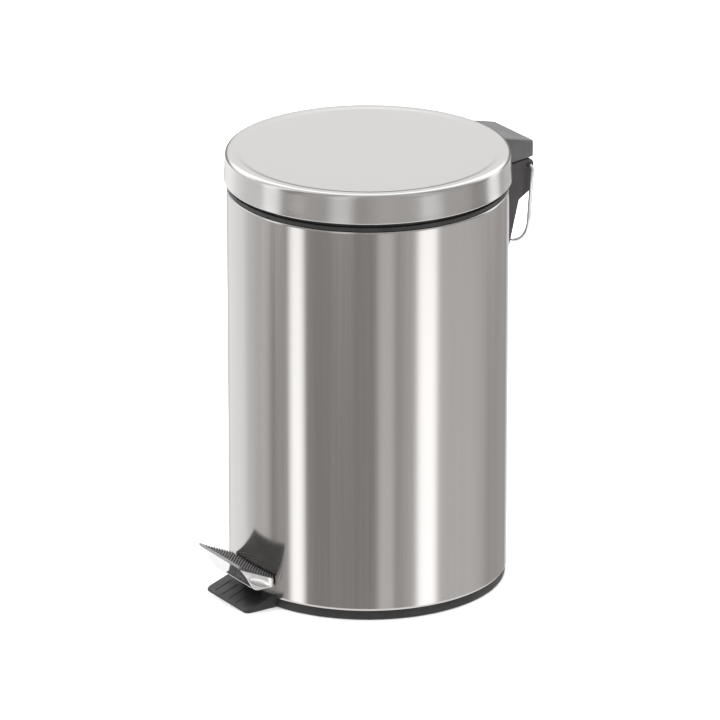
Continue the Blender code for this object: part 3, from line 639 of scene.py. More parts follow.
screw_nodes, screw_spots = screw_places("bracket_screw")
lower = [spot for spot in screw_spots if spot.z < SCREW_SPLIT]
upper = [spot for spot in screw_spots if spot.z > SCREW_SPLIT]
for spots, post_end in ((lower, 0.1295), (upper, 0.1518)):
    for post in bars("screw_post", SCREW_POST, spots, 0.110, post_end, 32):
        combine(bracket, "UNION", post)
gap_low = (-BOSS_INNER - CLEAR, 0.10, axis.z - 0.0061)
combine(bracket, "DIFFERENCE", block("barrel_gap", gap_low, (BOSS_INNER - CLEAR, 0.17, 0.39)),
        cross_bar("pin_hole", PIN_HOLE, axis, -0.0278, 0.0278),
        cross_bar("handle_hole", HANDLE_HOLE, axis, -0.04, 0.04),
        bar("body_room", BODY_OUTER + CLEAR, (0, 0, 0.15), (0, 0, 0.42), 288),
        *bars("post_hole", SCREW_HOLE, lower, 0.10, 0.1285),
        *bars("post_hole", SCREW_HOLE, upper, 0.10, 0.136))
finished(bracket, grey_plastic, "can", "grey_plastic", "hinge_bracket")

# ---- Backing plate and bracket screws ----
# A zinc-plated strap curved to the inside of the can spreads the load of the
# bracket, and four cross-recessed pan-head screws hold the two together.
plate_low, plate_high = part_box("backing_plate")
PLATE_OUTER = BODY_OUTER - SHEET - CLEAR
PLATE_SHEET = 0.0012
PLATE_HALF, PLATE_TURN, PLATE_CORNER = 0.027, 12.6, 0.004
zinc = steel("zinc_plate", (0.50, 0.505, 0.51), 0.34, (120, 120, 60), 0.00002, 0.08, 0.14)
plate_line = arc((0, 0), PLATE_OUTER, 90 - PLATE_TURN, 90 + PLATE_TURN, 24)
plate_line += arc((0, 0), PLATE_OUTER - PLATE_SHEET, 90 + PLATE_TURN, 90 - PLATE_TURN, 24)
plate = prism("backing_strap", plate_line, plate_low.z, plate_high.z)
wide = PLATE_HALF - PLATE_CORNER
above, below = plate_high.z - PLATE_CORNER, plate_low.z + PLATE_CORNER
rounded = []
for quarter, centre in enumerate([(wide, above), (-wide, above), (-wide, below), (wide, below)]):
    rounded += arc(centre, PLATE_CORNER, 90 * quarter, 90 * quarter + 90, 6)
combine(plate, "INTERSECT", prism("strap_outline", rounded, 0.10, 0.14, along="Y"))
combine(plate, "DIFFERENCE", block("rod_slot", (-SLOT_HALF, 0.1, SLOT_LOW), (SLOT_HALF, 0.14, SLOT_HIGH)),
        *bars("screw_hole", SCREW_HOLE, screw_spots, 0.10, 0.14))
finished(plate, zinc, "can", "zinc_steel", "backing_plate")


def pan_screw(name, head, length):
    """A pan-head screw with a cross recess and a threaded shank, pointing along +Y."""
    shank, pitch = 0.0019, 0.0008
    thread = []
    for i in range(int((length - 0.0012) / pitch)):
        at = -0.0006 - i * pitch
        thread += [(shank, at), (shank, at - 0.25 * pitch), (shank * 0.80, at - 0.62 * pitch)]
    dome = [(head * out, HEAD_THICK * up) for out, up in (
        (0, 1), (0.45, 0.97), (0.75, 0.80), (0.94, 0.48), (1, 0.16), (0.98, 0))]
    screw = turned(name, dome + [(shank * 0.9, 0)] + thread + [(shank * 0.5, -length), (0, -length)],
                   steps=28, closed=False)
    arm, wide, deep = head * 0.52, head * 0.11, HEAD_THICK * 0.35
    combine(screw, "DIFFERENCE", block("arm", (-arm, -wide, deep), (arm, wide, 0.01)),
            block("arm", (-wide, -arm, deep), (wide, arm, 0.01)))
    for vertex in screw.data.vertices:
        vertex.co = (vertex.co.x, -vertex.co.z, vertex.co.y)
    return screw


def set_screws(tree, given):
    """One screw on each end of the line between the two places."""
    ends = {"Count": 2, "Start Location": given["First"], "Offset": given["Second"]}
    line = node(tree, "GeometryNodeMeshLine", ends, mode="END_POINTS", count_mode="TOTAL").outputs[0]
    screw = node(tree, "GeometryNodeObjectInfo", {"Object": given["Screw"]}).outputs["Geometry"]
    return set_on(tree, line, screw, vector(tree))


def screw_pair(name, screw, first, second):
    """Two like screws at two places, as one mesh."""
    pair = grown(name, "pair of screws", {"Screw": screw, "First": tuple(first), "Second": tuple(second)},
                 set_screws, zinc)
    bpy.data.objects.remove(screw, do_unlink=True)
    return pair


def joined(name, *objects):
    """Several meshes as one object."""
    grid = bmesh.new()
    for obj in objects:
        grid.from_mesh(obj.data)
        bpy.data.objects.remove(obj, do_unlink=True)
    return from_grid(name, grid)


upper_screws = screw_pair("upper_screws", pan_screw("long_screw", 0.0035, 0.0145), *upper)
lower_screws = screw_pair("lower_screws", pan_screw("short_screw", 0.0035, 0.0075), *lower)
bracket_screws = joined("bracket_screws", upper_screws, lower_screws)
finished(bracket_screws, zinc, "can", "zinc_steel", *screw_nodes)

# ---- Hinge pin ----
# A plain steel pin with chamfered ends, pushed through the bracket's knuckles
# and the cover's barrel.
hinge_low, hinge_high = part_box("hinge_pin")
PIN = (hinge_high.z - hinge_low.z) / 2
hinge_pin = bar("hinge_pin_steel", PIN, (hinge_low.x, axis.y, axis.z), (hinge_high.x, axis.y, axis.z),
                chamfer=0.0004)
finished(hinge_pin, zinc, "can", "zinc_steel", "hinge_pin")

# ---- Lid ----
# Stainless sheet pressed to a shallow cap: a flat top a little below its
# raised edge, a rounded shoulder, and a skirt that widens to a hemmed edge.
LID_OUTER = lid_high.x
LID_TOP = lid_high.z
LID_BOTTOM = lid_low.z
FLARE = 0.0010                       # the shoulder is this much narrower than the hem
SHOULDER = 0.0046
TOP_SINK = 0.00075
polished_lid = steel("satin_stainless_lid", (0.68, 0.672, 0.665), 0.19, (6, 700, 700), 0.0, 0.015, 0.012)
plateau = LID_TOP - TOP_SINK
shoulder_at = (LID_OUTER - FLARE - SHOULDER, LID_TOP - SHOULDER)
lean = math.degrees(math.atan(FLARE / (shoulder_at[1] - LID_BOTTOM)))
outer_line = [(0, plateau), (0.060, plateau), (0.1126, plateau), (0.1133, plateau + 0.00002),
              (0.1140, plateau + 0.00010), (0.1171, LID_TOP - 0.00010), (0.1178, LID_TOP - 0.00002),
              (0.1186, LID_TOP)]
outer_line += arc(shoulder_at, SHOULDER, 90, lean, 12)
skirt_from = outer_line[-1]
outer_line += [(skirt_from[0] + 0.00002, skirt_from[1] - 0.0004),
               (LID_OUTER - FLARE * 0.35, LID_BOTTOM + 0.0070), (LID_OUTER - 0.00008, LID_BOTTOM + 0.0016)]
outer_line += arc((LID_OUTER - 0.0010, LID_BOTTOM + 0.0010), 0.0010, 20, -90, 6)
lid = turned("lid_pressing", outer_line, closed=False)
sheeted(lid, sum(v.normal.to_3d().z for v in lid.data.vertices))
finished(lid, polished_lid, "lid", "polished_lid", "lid_shell", angle=50)

# ---- Lid ring ----
# A soft black ring snapped inside the lid's hem; it quietens the closing lid.
ring_low, ring_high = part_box("lid_ring")
RING_OUTER = ring_high.x - 0.0008
lid_ring = turned("lid_ring_moulding", [
    (RING_OUTER - 0.0003, ring_high.z), (RING_OUTER, ring_high.z - 0.0003),
    (RING_OUTER, ring_low.z + 0.0004), (RING_OUTER - 0.0004, ring_low.z), (0.1222, ring_low.z),
    (0.1218, ring_low.z + 0.0004), (0.1218, 0.3736), (0.1220, 0.3739), (0.1238, ring_high.z - 0.0002),
    (0.1242, ring_high.z)], steps=192)
finished(lid_ring, black_plastic, "lid", "black_plastic", "lid_ring")

# ---- Hinge cover ----
# A dark grey cap screwed to the lid's skirt from inside.  Its barrel turns on
# the hinge pin between the bracket's knuckles, and the slotted lug under it
# takes the push rod's bent end.
COVER_FRONT, COVER_BACK = 0.112, 0.1557
COVER_LOW, COVER_HIGH, COVER_TOP = 0.3718, 0.3874, 0.3975
BARREL, BARREL_HALF = 0.0054, 0.0236
LUG_DROP = math.radians(40)
LUG_REACH, LUG_TURN = 0.019, math.pi + LUG_DROP
LUG_INNER, LUG_OUTER, LUG_WIDE = 0.0045, 0.0085, 0.0052
ROD_WIRE, ROD_PLAY = 0.00175, 0.0006
lid_screw_nodes, lid_spots = screw_places("lid_screw")
cover_line = [(COVER_FRONT, 0.3672), (COVER_BACK, COVER_LOW), (COVER_BACK, COVER_HIGH),
              (COVER_FRONT, COVER_TOP)]
rise = (COVER_TOP - COVER_HIGH) / (COVER_BACK - COVER_FRONT)
cavity_front, cavity_back = 0.1312, COVER_BACK - BLOCK_WALL
cavity_line = [(cavity_front, 0.36), (cavity_back, 0.36),
               (cavity_back, COVER_HIGH - BLOCK_WALL * (1 - rise)),
               (cavity_front, COVER_HIGH - BLOCK_WALL + rise * (COVER_BACK - cavity_front))]
cover = prism("hinge_cover_moulding", cover_line, -BLOCK_HALF, BLOCK_HALF, along="X")
bevel(cover, 0.0020, 6, 30)
combine(cover, "DIFFERENCE",
        prism("cover_cavity", cavity_line, BLOCK_WALL - BLOCK_HALF, BLOCK_HALF - BLOCK_WALL, along="X"))


def off_hinge(u, v):
    """A point on the lug's own line, as Y and Z."""
    return (axis.y + u * math.cos(LUG_TURN) - v * math.sin(LUG_TURN),
            axis.z + u * math.sin(LUG_TURN) + v * math.cos(LUG_TURN))


tip = LUG_REACH + ROD_WIRE + 0.0029
slot_half = ROD_WIRE + 0.0011
slot_near = LUG_REACH * math.cos(LUG_DROP) - ROD_WIRE - ROD_PLAY + slot_half
slot_far = LUG_REACH + ROD_WIRE + ROD_PLAY - slot_half
lug_line = [(0, -LUG_WIDE)] + arc((tip - LUG_WIDE, 0), LUG_WIDE, -90, 90, 18) + [(0, LUG_WIDE)]
lug_slot = arc((slot_near, 0), slot_half, 270, 90, 12) + arc((slot_far, 0), slot_half, 90, -90, 12)
web_high = (BARREL_HALF, axis.y + BARREL - 0.0002, 0.376)
combine(cover, "UNION",
        cross_bar("barrel", BARREL, axis, -BARREL_HALF, BARREL_HALF, 48),
        block("barrel_web", (-BARREL_HALF, axis.y - 0.003, axis.z), web_high),
        prism("lug", [off_hinge(u, v) for u, v in lug_line], LUG_INNER, LUG_OUTER, along="X"),
        *bars("lid_post", SCREW_POST, lid_spots, 0.12, 0.14, 32))
combine(cover, "DIFFERENCE",
        cross_bar("barrel_hole", PIN_HOLE, axis, -0.028, 0.028),
        prism("lug_slot", [off_hinge(u, v) for u, v in lug_slot], 0.0035, 0.0095, along="X"),
        bar("lid_room", LID_OUTER + CLEAR, (0, 0, 0.33), (0, 0, 0.42), 288),
        *bars("screw_hole", SCREW_HOLE, lid_spots, 0.11, 0.1372))
# The same dark grey plastic as the bracket, its colour painted about twice as light so that the cover reads
# as lit from above.
cover_plastic_painted_lighter = plastic("grey_moulding_painted_lighter", (0.086, 0.086, 0.086), 0.44, 0.00010, 1.2)
finished(cover, cover_plastic_painted_lighter, "lid", "grey_plastic", "hinge_cover")

lid_screws = screw_pair("lid_screws", pan_screw("lid_screw", 0.0033, 0.0118), *lid_spots)
finished(lid_screws, zinc, "lid", "zinc_steel", *lid_screw_nodes)

# ---- Pivot pin and push nut ----
# The pedal's steel pin has a flat head at one end; a sprung push nut with six
# teeth grips its other end.
nut_low, nut_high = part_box("pivot_push_nut")
pin_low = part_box("pivot_pin")[0]
PIVOT, PIVOT_LONG, PIVOT_HEAD = 0.00225, 0.0420, 0.0015
NUT_OUTER = (nut_high.z - nut_low.z) / 2


def along_x(obj, at, way=1):
    """The shape turned about Z laid along X from a place, one way or the other."""
    for vertex in obj.data.vertices:
        vertex.co = (at[0] + way * vertex.co.z, at[1] + vertex.co.x, at[2] + vertex.co.y)
    if way < 0:
        obj.data.flip_normals()
    return obj


pivot_pin = turned("pivot_pin_steel", [
    (0, PIVOT_HEAD), (0.0030, PIVOT_HEAD), (0.0038, 0.0011), (0.0040, 0.0005), (0.0040, 0), (PIVOT, 0),
    (PIVOT, 0.0006 - PIVOT_LONG), (PIVOT - 0.0006, -PIVOT_LONG), (0, -PIVOT_LONG)], steps=40, closed=False)
along_x(pivot_pin, (pin_low.x + PIVOT_HEAD, pivot.y, pivot.z), -1)
finished(pivot_pin, zinc, "can", "zinc_steel", "pivot_pin")
nut_ring = turned("push_nut", [
    (NUT_OUTER, 0.0003), (NUT_OUTER - 0.0003, 0), (0.0032, 0), (0.0032, 0.0006),
    (NUT_OUTER - 0.0008, 0.0006), (NUT_OUTER - 0.0002, 0.0012), (NUT_OUTER, 0.0012)], steps=36)
teeth = grown("nut_teeth", "teeth of the push nut",
              {"Count": 6, "Radius": 0.0030, "Size": (0.0010, 0.0014, 0.0005), "Level": 0.0003},
              ring_of_blocks, zinc)
push_nut = along_x(joined("push_nut_steel", nut_ring, teeth), (nut_low.x, pivot.y, pivot.z))
finished(push_nut, zinc, "can", "zinc_steel", "pivot_push_nut")

# ---- Pedal lever ----
# A strap of zinc-plated steel, bent round the pivot pin.  It runs under the
# bucket from the pedal to the push rod, where its forked end lifts the collar.
LEVER_BOTTOM, LEVER_TOP = lever_high.z - 0.0025, lever_high.z
LEVER_WIDE, LEVER_NARROW, FORK_HALF = 0.012, 0.0075, 0.0029
ROD_LOW_Y = 0.1165
FORK_FROM = ROD_LOW_Y - 0.0031
lever_plan = [(-LEVER_WIDE, lever_low.y), (LEVER_WIDE, lever_low.y), (LEVER_WIDE, -0.045),
              (LEVER_NARROW, -0.030), (LEVER_NARROW, lever_high.y), (FORK_HALF, lever_high.y)]
lever_plan += arc((0, FORK_FROM + FORK_HALF), FORK_HALF, 0, -180, 10)
lever_plan += [(-FORK_HALF, lever_high.y), (-LEVER_NARROW, lever_high.y), (-LEVER_NARROW, -0.030),
               (-LEVER_WIDE, -0.045)]
lever = prism("lever_strap", lever_plan, LEVER_BOTTOM, LEVER_TOP)
bevel(lever, 0.0004, 2, 40)
combine(lever, "UNION",
        cross_bar("lever_barrel", 0.0046, pivot, -LEVER_WIDE, LEVER_WIDE),
        block("lever_web", (0.0001 - LEVER_WIDE, pivot.y - 0.004, pivot.z),
              (LEVER_WIDE - 0.0001, pivot.y + 0.004, 0.022)))
rivet_boxes = [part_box(name) for name in ("pedal_rivet_left", "pedal_rivet_right")]
rivet_spots = [(rivet_low + rivet_high) / 2 for rivet_low, rivet_high in rivet_boxes]


def rivet_holes():
    """An upright bar through each rivet's place."""
    return [bar("rivet_hole", 0.0019, (at.x, at.y, 0.01), (at.x, at.y, 0.03)) for at in rivet_spots]


combine(lever, "DIFFERENCE", cross_bar("lever_hole", PIVOT_BORE, pivot, -0.03, 0.03), *rivet_holes())
finished(lever, zinc, "pedal", "zinc_steel", "pedal_lever")

# ---- Pedal scoop ----
# The chromed pressing that carries the tread: its bottom curves up from the
# lever to the front edge, between two cheeks with a pressed hollow in each.
TREAD_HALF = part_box("pedal_tread")[1].x
TREAD_FRONT, TREAD_FRONT_Z, TREAD_SLOPE = 0.1578, 0.0472, 0.4577
TREAD_DEEP = 0.0027
SCOOP_SHEET = 0.0012
PEDAL_BACK = BODY_OUTER + 0.0012


def tread_level(front_by, under=0.0):
    """Height of the tread's top at a distance in front of the axis."""
    return TREAD_FRONT_Z - TREAD_SLOPE * (TREAD_FRONT - front_by) - under


def flowing(points, steps=8):
    """A smooth line through the points."""
    line = []
    ends = [points[0]] + points + [points[-1]]
    for i in range(1, len(ends) - 2):
        a, b, c, d = (Vector(p) for p in ends[i - 1:i + 3])
        for k in range(steps):
            t = k / steps
            line.append(tuple(0.5 * (2 * b + (c - a) * t + (2 * a - 5 * b + 4 * c - d) * t * t
                                     + (3 * b - a - 3 * c + d) * t ** 3)))
    return line + [tuple(points[-1])]


chrome, chrome_tree, chrome_where = coating("chrome_plate")
haze = noise(chrome_tree, chrome_where, 140.0, 4.0)
coat(chrome_tree, mixed(chrome_tree, haze, (0.83, 0.82, 0.82), (0.76, 0.745, 0.745)),
     ramp(chrome_tree, haze, 0.35, 0.7, 0.06, 0.13),
     noise(chrome_tree, chrome_where, 90.0, 1.0), 0.25, 0.0002).inputs["Metallic"].default_value = 1.0

PAD_ROOM = TREAD_DEEP + CLEAR
outside = flowing([(-0.1566, 0.0438), (-0.1498, 0.0343), (-0.1453, 0.0262), (-0.1430, 0.0228),
                   (-0.1405, 0.0209), (-0.1375, 0.0200)])
outside += [(-0.1150, 0.0200), (-0.1150, tread_level(0.1150, PAD_ROOM)),
            (-0.1560, tread_level(0.1560, PAD_ROOM))]
inside = [(-0.1600, 0.0520)] + flowing([(-0.1545, 0.0438), (-0.1487, 0.0350), (-0.1442, 0.0268),
                                        (-0.1420, 0.0236), (-0.1399, 0.0220), (-0.1372, 0.0212)])
inside += [(-0.1100, 0.0212), (-0.1100, 0.0520)]
scoop = prism("pedal_pressing", outside, -TREAD_HALF, TREAD_HALF, along="X")
bevel(scoop, 0.0028, 7, 50)
combine(scoop, "DIFFERENCE",
        prism("scoop_hollow", inside, SCOOP_SHEET - TREAD_HALF, TREAD_HALF - SCOOP_SHEET, along="X"),
        bar("scoop_room", PEDAL_BACK, (0, 0, 0), (0, 0, 0.08), 288), *rivet_holes())
HOLLOW_LONG, HOLLOW_WIDE, HOLLOW_DEEP, HOLLOW_TILT = 0.0122, 0.0034, 0.0008, math.radians(25)
half_ring = [(0, 1)] + arc((0, 0), 1, 90, -90, 30)[1:-1] + [(0, -1)]
for side in (-1, 1):
    dent = turned("pressed_hollow", half_ring, steps=64, closed=False)
    dent.data.transform(Matrix.Translation((side * (TREAD_HALF + 0.0002), -0.1360, 0.0268))
                        @ Matrix.Rotation(-HOLLOW_TILT, 4, "X")
                        @ Matrix.Diagonal((HOLLOW_DEEP, HOLLOW_LONG, HOLLOW_WIDE, 1)))
    combine(scoop, "DIFFERENCE", dent)
finished(scoop, chrome, "pedal", "chrome_pedal", "pedal_scoop", angle=13.5)
FLANGE_HALF, FLANGE_ROUND = 0.0310, 0.0006
flange_line = [(0, -FLANGE_HALF), (0.0004, -FLANGE_HALF), (FLANGE_ROUND, 0.0005 - FLANGE_HALF)]
flange_line += [(radius, -at) for radius, at in reversed(flange_line)]
flange = turned("lower_flange", flange_line, steps=16, closed=False)
along_x(flange, (0, -0.1424, 0.0225))
finished(flange, chrome, "pedal", "chrome_pedal")

# ---- Tread ----
# A grey plastic pad clipped over the pedal.  Fine slanting ribs run behind its
# smooth front lip, to grip the shoe.  Its colour has light and shade painted in:
# painted shade in the grooves, painted highlights on the rib tops, and the lip and
# its rounded nose painted lighter as if lit.
tread_plastic = plastic("tread_moulding", (0.060, 0.059, 0.059), 0.40, 0.00006, 1.2)
LIP_LONG, GROOVE = 0.0030, 0.0012
TREAD_PITCH, RIB_ROUND = 0.0022, 0.00074
RIB_TURN = math.radians(144)
# Scales of the grey that paint light and shade: painted shade in the grooves, painted highlight on the rib
# tops, painted light on the lip and a brighter painted highlight on its nose.
GROOVE_PAINTED_SHADE, CREST_PAINTED_HIGHLIGHT, LIP_PAINTED_LIGHT, NOSE_PAINTED_HIGHLIGHT = 0.20, 2.1, 1.8, 3.6
lip_back = LIP_LONG - TREAD_FRONT
rib_across = Vector((math.sin(RIB_TURN), -math.cos(RIB_TURN), 0))
tread_tree = tread_plastic.node_tree
tread_colour = tread_tree.nodes["Principled BSDF"].inputs["Base Color"]
tread_grey = tread_colour.links[0].from_socket
tread_where = node(tread_tree, "ShaderNodeTexCoord").outputs["Object"]
tread_y = node(tread_tree, "ShaderNodeSeparateXYZ", {0: tread_where}).outputs["Y"]
over_ribs = reach(tread_tree, tread_where, rib_across)
wave = maths(tread_tree, "COSINE", maths(tread_tree, "MULTIPLY", over_ribs, 2 * math.pi / TREAD_PITCH))
# Painted shade between the ribs and a painted highlight along their tops.
crest = ramp(tread_tree, wave, -0.4, 0.8, GROOVE_PAINTED_SHADE, CREST_PAINTED_HIGHLIGHT)
on_lip = ramp(tread_tree, tread_y, lip_back - 0.0002, lip_back + 0.0002, 1.0, 0.0)
on_nose = ramp(tread_tree, tread_y, 0.0009 - TREAD_FRONT, 0.0004 - TREAD_FRONT)
painted_light_scale = mixed(tread_tree, on_lip, crest, ramp(tread_tree, on_nose, 0.0, 1.0, LIP_PAINTED_LIGHT, NOSE_PAINTED_HIGHLIGHT))
tread_tone = node(tread_tree, "ShaderNodeVectorMath", {0: tread_grey, "Scale": painted_light_scale}, operation="SCALE")
tread_tree.links.new(tread_tone.outputs[0], tread_colour)
pad_line = [(-TREAD_FRONT + 0.0006, TREAD_FRONT_Z - TREAD_DEEP)]
pad_line += arc((-TREAD_FRONT + 0.0013, TREAD_FRONT_Z - 0.0014), 0.0013, 200, 100, 8)
pad_line += [(lip_back, tread_level(-lip_back)),
             (lip_back + 0.0005, tread_level(-lip_back - 0.0005, GROOVE)),
             (-0.1150, tread_level(0.1150, GROOVE)), (-0.1150, tread_level(0.1150, TREAD_DEEP))]
tread = prism("tread_pad", pad_line, -TREAD_HALF, TREAD_HALF, along="X")
bevel(tread, 0.0004, 2, 50)
combine(tread, "DIFFERENCE", bar("tread_room", PEDAL_BACK, (0, 0, 0), (0, 0, 0.08), 288))


def tread_ribs(tree, given):
    """Level round ribs side by side."""
    rib = node(tree, "GeometryNodeMeshCylinder", {"Vertices": 12, "Radius": given["Radius"],
               "Depth": given["Length"]}, fill_type="NGON").outputs["Mesh"]
    laid = node(tree, "GeometryNodeTransform", {"Geometry": rib, "Rotation": vector(tree, y=math.pi / 2)})
    return row(tree, given, laid.outputs[0], vector(tree, z=given["Turn"]))


RIB_FROM, RIB_TO, RIB_LONG = -66, -35, 0.110      # whole pitches from the can's axis
rib_along = Vector((math.cos(RIB_TURN), math.sin(RIB_TURN), 0))
first_rib = rib_across * RIB_FROM * TREAD_PITCH + rib_along * rib_along.dot(Vector((0, -0.139, 0)))
tread_rib_set = grown("tread_ribs", "ribs on the tread",
                      {"Count": RIB_TO - RIB_FROM, "Step": tuple(rib_across * TREAD_PITCH),
                       "Radius": RIB_ROUND, "Length": RIB_LONG, "Turn": RIB_TURN, "First": tuple(first_rib)},
                      tread_ribs, tread_plastic)
for vertex in tread_rib_set.data.vertices:
    vertex.co.z += tread_level(-vertex.co.y, RIB_ROUND)
rib_side = TREAD_HALF - 0.0005
side_turn = math.degrees(math.acos(rib_side / PEDAL_BACK))
rib_field = [(-rib_side, lip_back - 0.0003), (rib_side, lip_back - 0.0003)]
rib_field += arc((0, 0), PEDAL_BACK + 0.0004, -side_turn, side_turn - 180, 24)
combine(tread_rib_set, "INTERSECT", prism("rib_field", rib_field, 0.0, 0.08))
finished(tread, tread_plastic, "pedal", "tread_plastic", "pedal_tread")
finished(tread_rib_set, tread_plastic, "pedal", "tread_plastic")

# ---- Pedal rivets ----
# Two steel rivets hold the scoop to the lever, with domed heads on top and
# underneath.
rivets = []
for spot, (rivet_low, rivet_high) in zip(rivet_spots, rivet_boxes):
    over, beneath = rivet_high.z - 0.0012, rivet_low.z + 0.0009
    rivet = turned("rivet", [
        (0, rivet_high.z), (0.0010, rivet_high.z - 0.0001), (0.0020, over + 0.0008), (0.0027, over + 0.0004),
        (0.0030, over), (0.0016, over), (0.0016, beneath), (0.0030, beneath), (0.0027, beneath - 0.0004),
        (0.0018, beneath - 0.0008), (0, rivet_low.z)], steps=32, closed=False)
    rivet.data.transform(Matrix.Translation((spot.x, spot.y, 0)))
    rivets.append(rivet)
rivet_pair = joined("pedal_rivets", *rivets)
finished(rivet_pair, zinc, "pedal", "zinc_steel", "pedal_rivet_left", "pedal_rivet_right")

# ---- Push rod ----
# Round steel wire that stands on the lever's fork, runs up the back inside the
# can, steps out through the slot behind the bracket and bends into the lug.
rod_low, rod_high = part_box("push_rod")
ROD_UP_Y = axis.y - LUG_REACH * math.cos(LUG_DROP)
ROD_TOP = axis.z - LUG_REACH * math.sin(LUG_DROP)
ROD_BEND = 0.003
rod_line = [(0, y, z) for y, z in (
    (ROD_LOW_Y, rod_low.z), (ROD_LOW_Y, 0.14), (ROD_LOW_Y, 0.2560), (ROD_LOW_Y + 0.0001, 0.2600),
    (ROD_LOW_Y + 0.0007, 0.2640), (ROD_UP_Y - 0.0007, 0.3322), (ROD_UP_Y - 0.0001, 0.3360),
    (ROD_UP_Y, 0.3400))]
rod_line += [(x, ROD_UP_Y, z) for x, z in arc((ROD_BEND, ROD_TOP - ROD_BEND), ROD_BEND, 180, 90, 9)]
rod_line += [(rod_high.x, ROD_UP_Y, ROD_TOP)]


def wire(name, points, radius, sides=6):
    """A round wire along its points, with closed ends."""
    curve = bpy.data.curves.new(name, "CURVE")
    curve.dimensions = "3D"
    curve.bevel_depth = radius
    curve.bevel_resolution = sides
    curve.use_fill_caps = True
    run = curve.splines.new("POLY")
    run.points.add(len(points) - 1)
    for point, at in zip(run.points, points):
        point.co = (*at, 1.0)
    source = bpy.data.objects.new(name, curve)
    bpy.context.scene.collection.objects.link(source)
    grid = welded(source)[1]
    bpy.data.objects.remove(source, do_unlink=True)
    bmesh.ops.recalc_face_normals(grid, faces=grid.faces)
    return from_grid(name, grid)


rod = wire("push_rod_wire", rod_line, ROD_WIRE)
finished(rod, zinc, "rod", "zinc_steel", "push_rod", angle=50)


def washer(name, outer, thick, chamfer=0.0003):
    """A ring with chamfered edges round the rod, its underside at zero."""
    return turned(name, [(outer - chamfer, thick), (outer, thick - chamfer), (outer, chamfer),
                         (outer - chamfer, 0), (ROD_WIRE, 0), (ROD_WIRE, thick)], steps=40)


collar_low, collar_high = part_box("rod_collar")
lower_low, lower_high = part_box("rod_lower_nut")
upper_low, upper_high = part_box("rod_upper_nut")
collar = washer("collar", (collar_high.x - collar_low.x) / 2, collar_high.z - collar_low.z)
collar.data.transform(Matrix.Translation((0, ROD_LOW_Y, collar_low.z)))
lower_nut = washer("lower_nut", (lower_high.x - lower_low.x) / 2, lower_high.z - lower_low.z)
lower_nut.data.transform(Matrix.Translation((0, ROD_LOW_Y, lower_low.z)))
upper_nut = washer("upper_nut", (upper_high.z - upper_low.z) / 2, upper_high.x - upper_low.x)
along_x(upper_nut, (upper_low.x, ROD_UP_Y, ROD_TOP))
rod_fittings = joined("rod_fittings", collar, lower_nut, upper_nut)
finished(rod_fittings, zinc, "rod", "zinc_steel", "rod_collar", "rod_lower_nut", "rod_upper_nut")

# ---- Inner bucket ----
# A dark plastic bucket that lifts out: a tapered wall with a rounded bottom
# edge, stiffening rings, and a flange with two ears for the bail.
bucket_low, bucket_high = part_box("inner_bucket")
bail_low, bail_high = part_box("bucket_bail")
bail_z = hinge_at["bail_fold"].z
FLANGE_LOW = 0.3689
FLANGE_TOP = FLANGE_LOW + 0.0017
WALL = 0.0015
MOUTH, HEEL, HEEL_ROUND = 0.1130, 0.1065, 0.006
deep = bucket_low.z
bucket_plastic = plastic("bucket_polypropylene", (0.055, 0.055, 0.057), 0.48, 0.00008, 1.3)
bucket_line = [(bucket_high.x - 0.0003, FLANGE_TOP), (bucket_high.x, FLANGE_TOP - 0.0004),
               (bucket_high.x, FLANGE_LOW + 0.0003), (bucket_high.x - 0.0003, FLANGE_LOW),
               (MOUTH + 0.0005, FLANGE_LOW), (MOUTH, FLANGE_LOW - 0.0006)]
taper = (MOUTH - HEEL) / (FLANGE_LOW - deep - HEEL_ROUND)
for ring_z in (0.340, 0.333, 0.200, 0.120):
    radius = HEEL + taper * (ring_z - deep - HEEL_ROUND)
    bucket_line += [(radius, ring_z + 0.0016), (radius + 0.0008, ring_z + 0.0006),
                    (radius + 0.0008, ring_z - 0.0006), (radius, ring_z - 0.0016)]
heel_at = (HEEL - HEEL_ROUND, deep + HEEL_ROUND)
bucket_line += arc(heel_at, HEEL_ROUND, 0, -90, 8)
bucket_line += [(0.070, deep), (0.0685, deep + 0.0006), (0.0015, deep + 0.0006), (0, deep + 0.0006),
                (0, deep + WALL + 0.0006), (0.0685, deep + WALL + 0.0006), (0.070, deep + WALL)]
bucket_line += arc(heel_at, HEEL_ROUND - WALL, -90, 0, 8)
bucket_line += [(MOUTH - WALL, FLANGE_TOP - 0.0010), (MOUTH - WALL + 0.0010, FLANGE_TOP)]
bucket = turned("bucket_moulding", bucket_line, steps=160)
EAR_HALF, EAR_ROUND = 0.0045, 0.0020
ear_round_at = bucket_high.z - EAR_ROUND
ear = [(-EAR_HALF, FLANGE_TOP - 0.0005), (EAR_HALF, FLANGE_TOP - 0.0005), (EAR_HALF, ear_round_at)]
ear += arc((EAR_HALF - EAR_ROUND, ear_round_at), EAR_ROUND, 0, 90, 6)
ear += arc((EAR_ROUND - EAR_HALF, ear_round_at), EAR_ROUND, 90, 180, 6)
for side in (-1, 1):
    inner, outer = sorted((side * 0.1172, side * 0.1202))
    combine(bucket, "UNION", prism("ear", ear, inner, outer, along="X"))
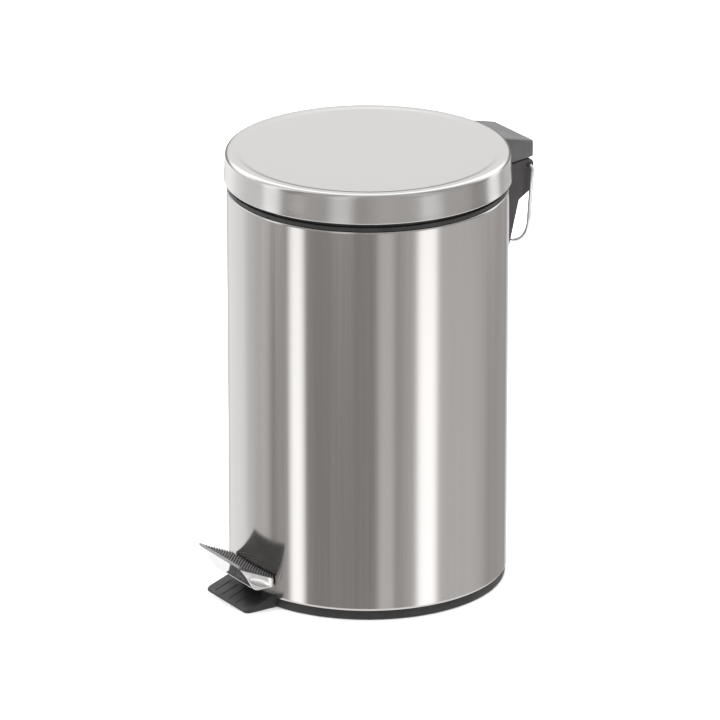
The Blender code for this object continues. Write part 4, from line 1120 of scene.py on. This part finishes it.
combine(bucket, "DIFFERENCE", cross_bar("bail_hole", 0.0018, Vector((0, 0, bail_z)), -0.125, 0.125))
finished(bucket, bucket_plastic, "bucket", "bucket_plastic", "inner_bucket")

# ---- Bucket bail ----
# Zinc-plated wire bent to a half ring that lies on the bucket's flange, with
# its ends turned outwards through the ears.
BAIL_RADIUS, BAIL_WIRE = 0.1150, 0.0015
bail_line = [(bail_low.x, 0, bail_z), (-BAIL_RADIUS - 0.0015, 0, bail_z)]
bail_line += [(x, y, bail_z) for x, y in arc((0, 0), BAIL_RADIUS, 183, 357, 96)]
bail_line += [(BAIL_RADIUS + 0.0015, 0, bail_z), (bail_high.x, 0, bail_z)]
bail = wire("bail_wire", bail_line, BAIL_WIRE)
finished(bail, zinc, "bail", "zinc_steel", "bucket_bail", angle=50)

# ---- Carry handle ----
# Bright wire bent to a long loop; its ends turn inwards into the bracket's
# knuckles, on the hinge's own axis, so it swings up to carry the can.
handle_low, handle_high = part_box("carry_handle")
HANDLE_WIRE = 0.00175
TOP_HALF, LOW_HALF = handle_high.x - HANDLE_WIRE, 0.0325
ARC_FROM, ARC_DROP = 0.3170, 0.3170 - handle_low.z - HANDLE_WIRE
HANDLE_CORNER = 0.0040
corner_at = (TOP_HALF - HANDLE_CORNER, axis.z - HANDLE_CORNER)
leg = [(0.0282, axis.z)] + arc(corner_at, HANDLE_CORNER, 90, 0, 9)
leg += [(TOP_HALF + (LOW_HALF - TOP_HALF) * t, corner_at[1] + (ARC_FROM - corner_at[1]) * t)
        for t in (0.25, 0.5, 0.75)]
leg += [(LOW_HALF * x, ARC_FROM - ARC_DROP * z) for x, z in arc((0, 0), 1, 0, 90, 30)]
handle_line = [(x, axis.y, z) for x, z in leg] + [(-x, axis.y, z) for x, z in reversed(leg[:-1])]
bright_wire = steel("bright_drawn_wire", (0.86, 0.855, 0.855), 0.12, (300, 300, 30), 0.0, 0.03, 0.04)
handle = wire("handle_wire", handle_line, HANDLE_WIRE, 8)
finished(handle, bright_wire, "handle", "polished_wire", "carry_handle", angle=50)
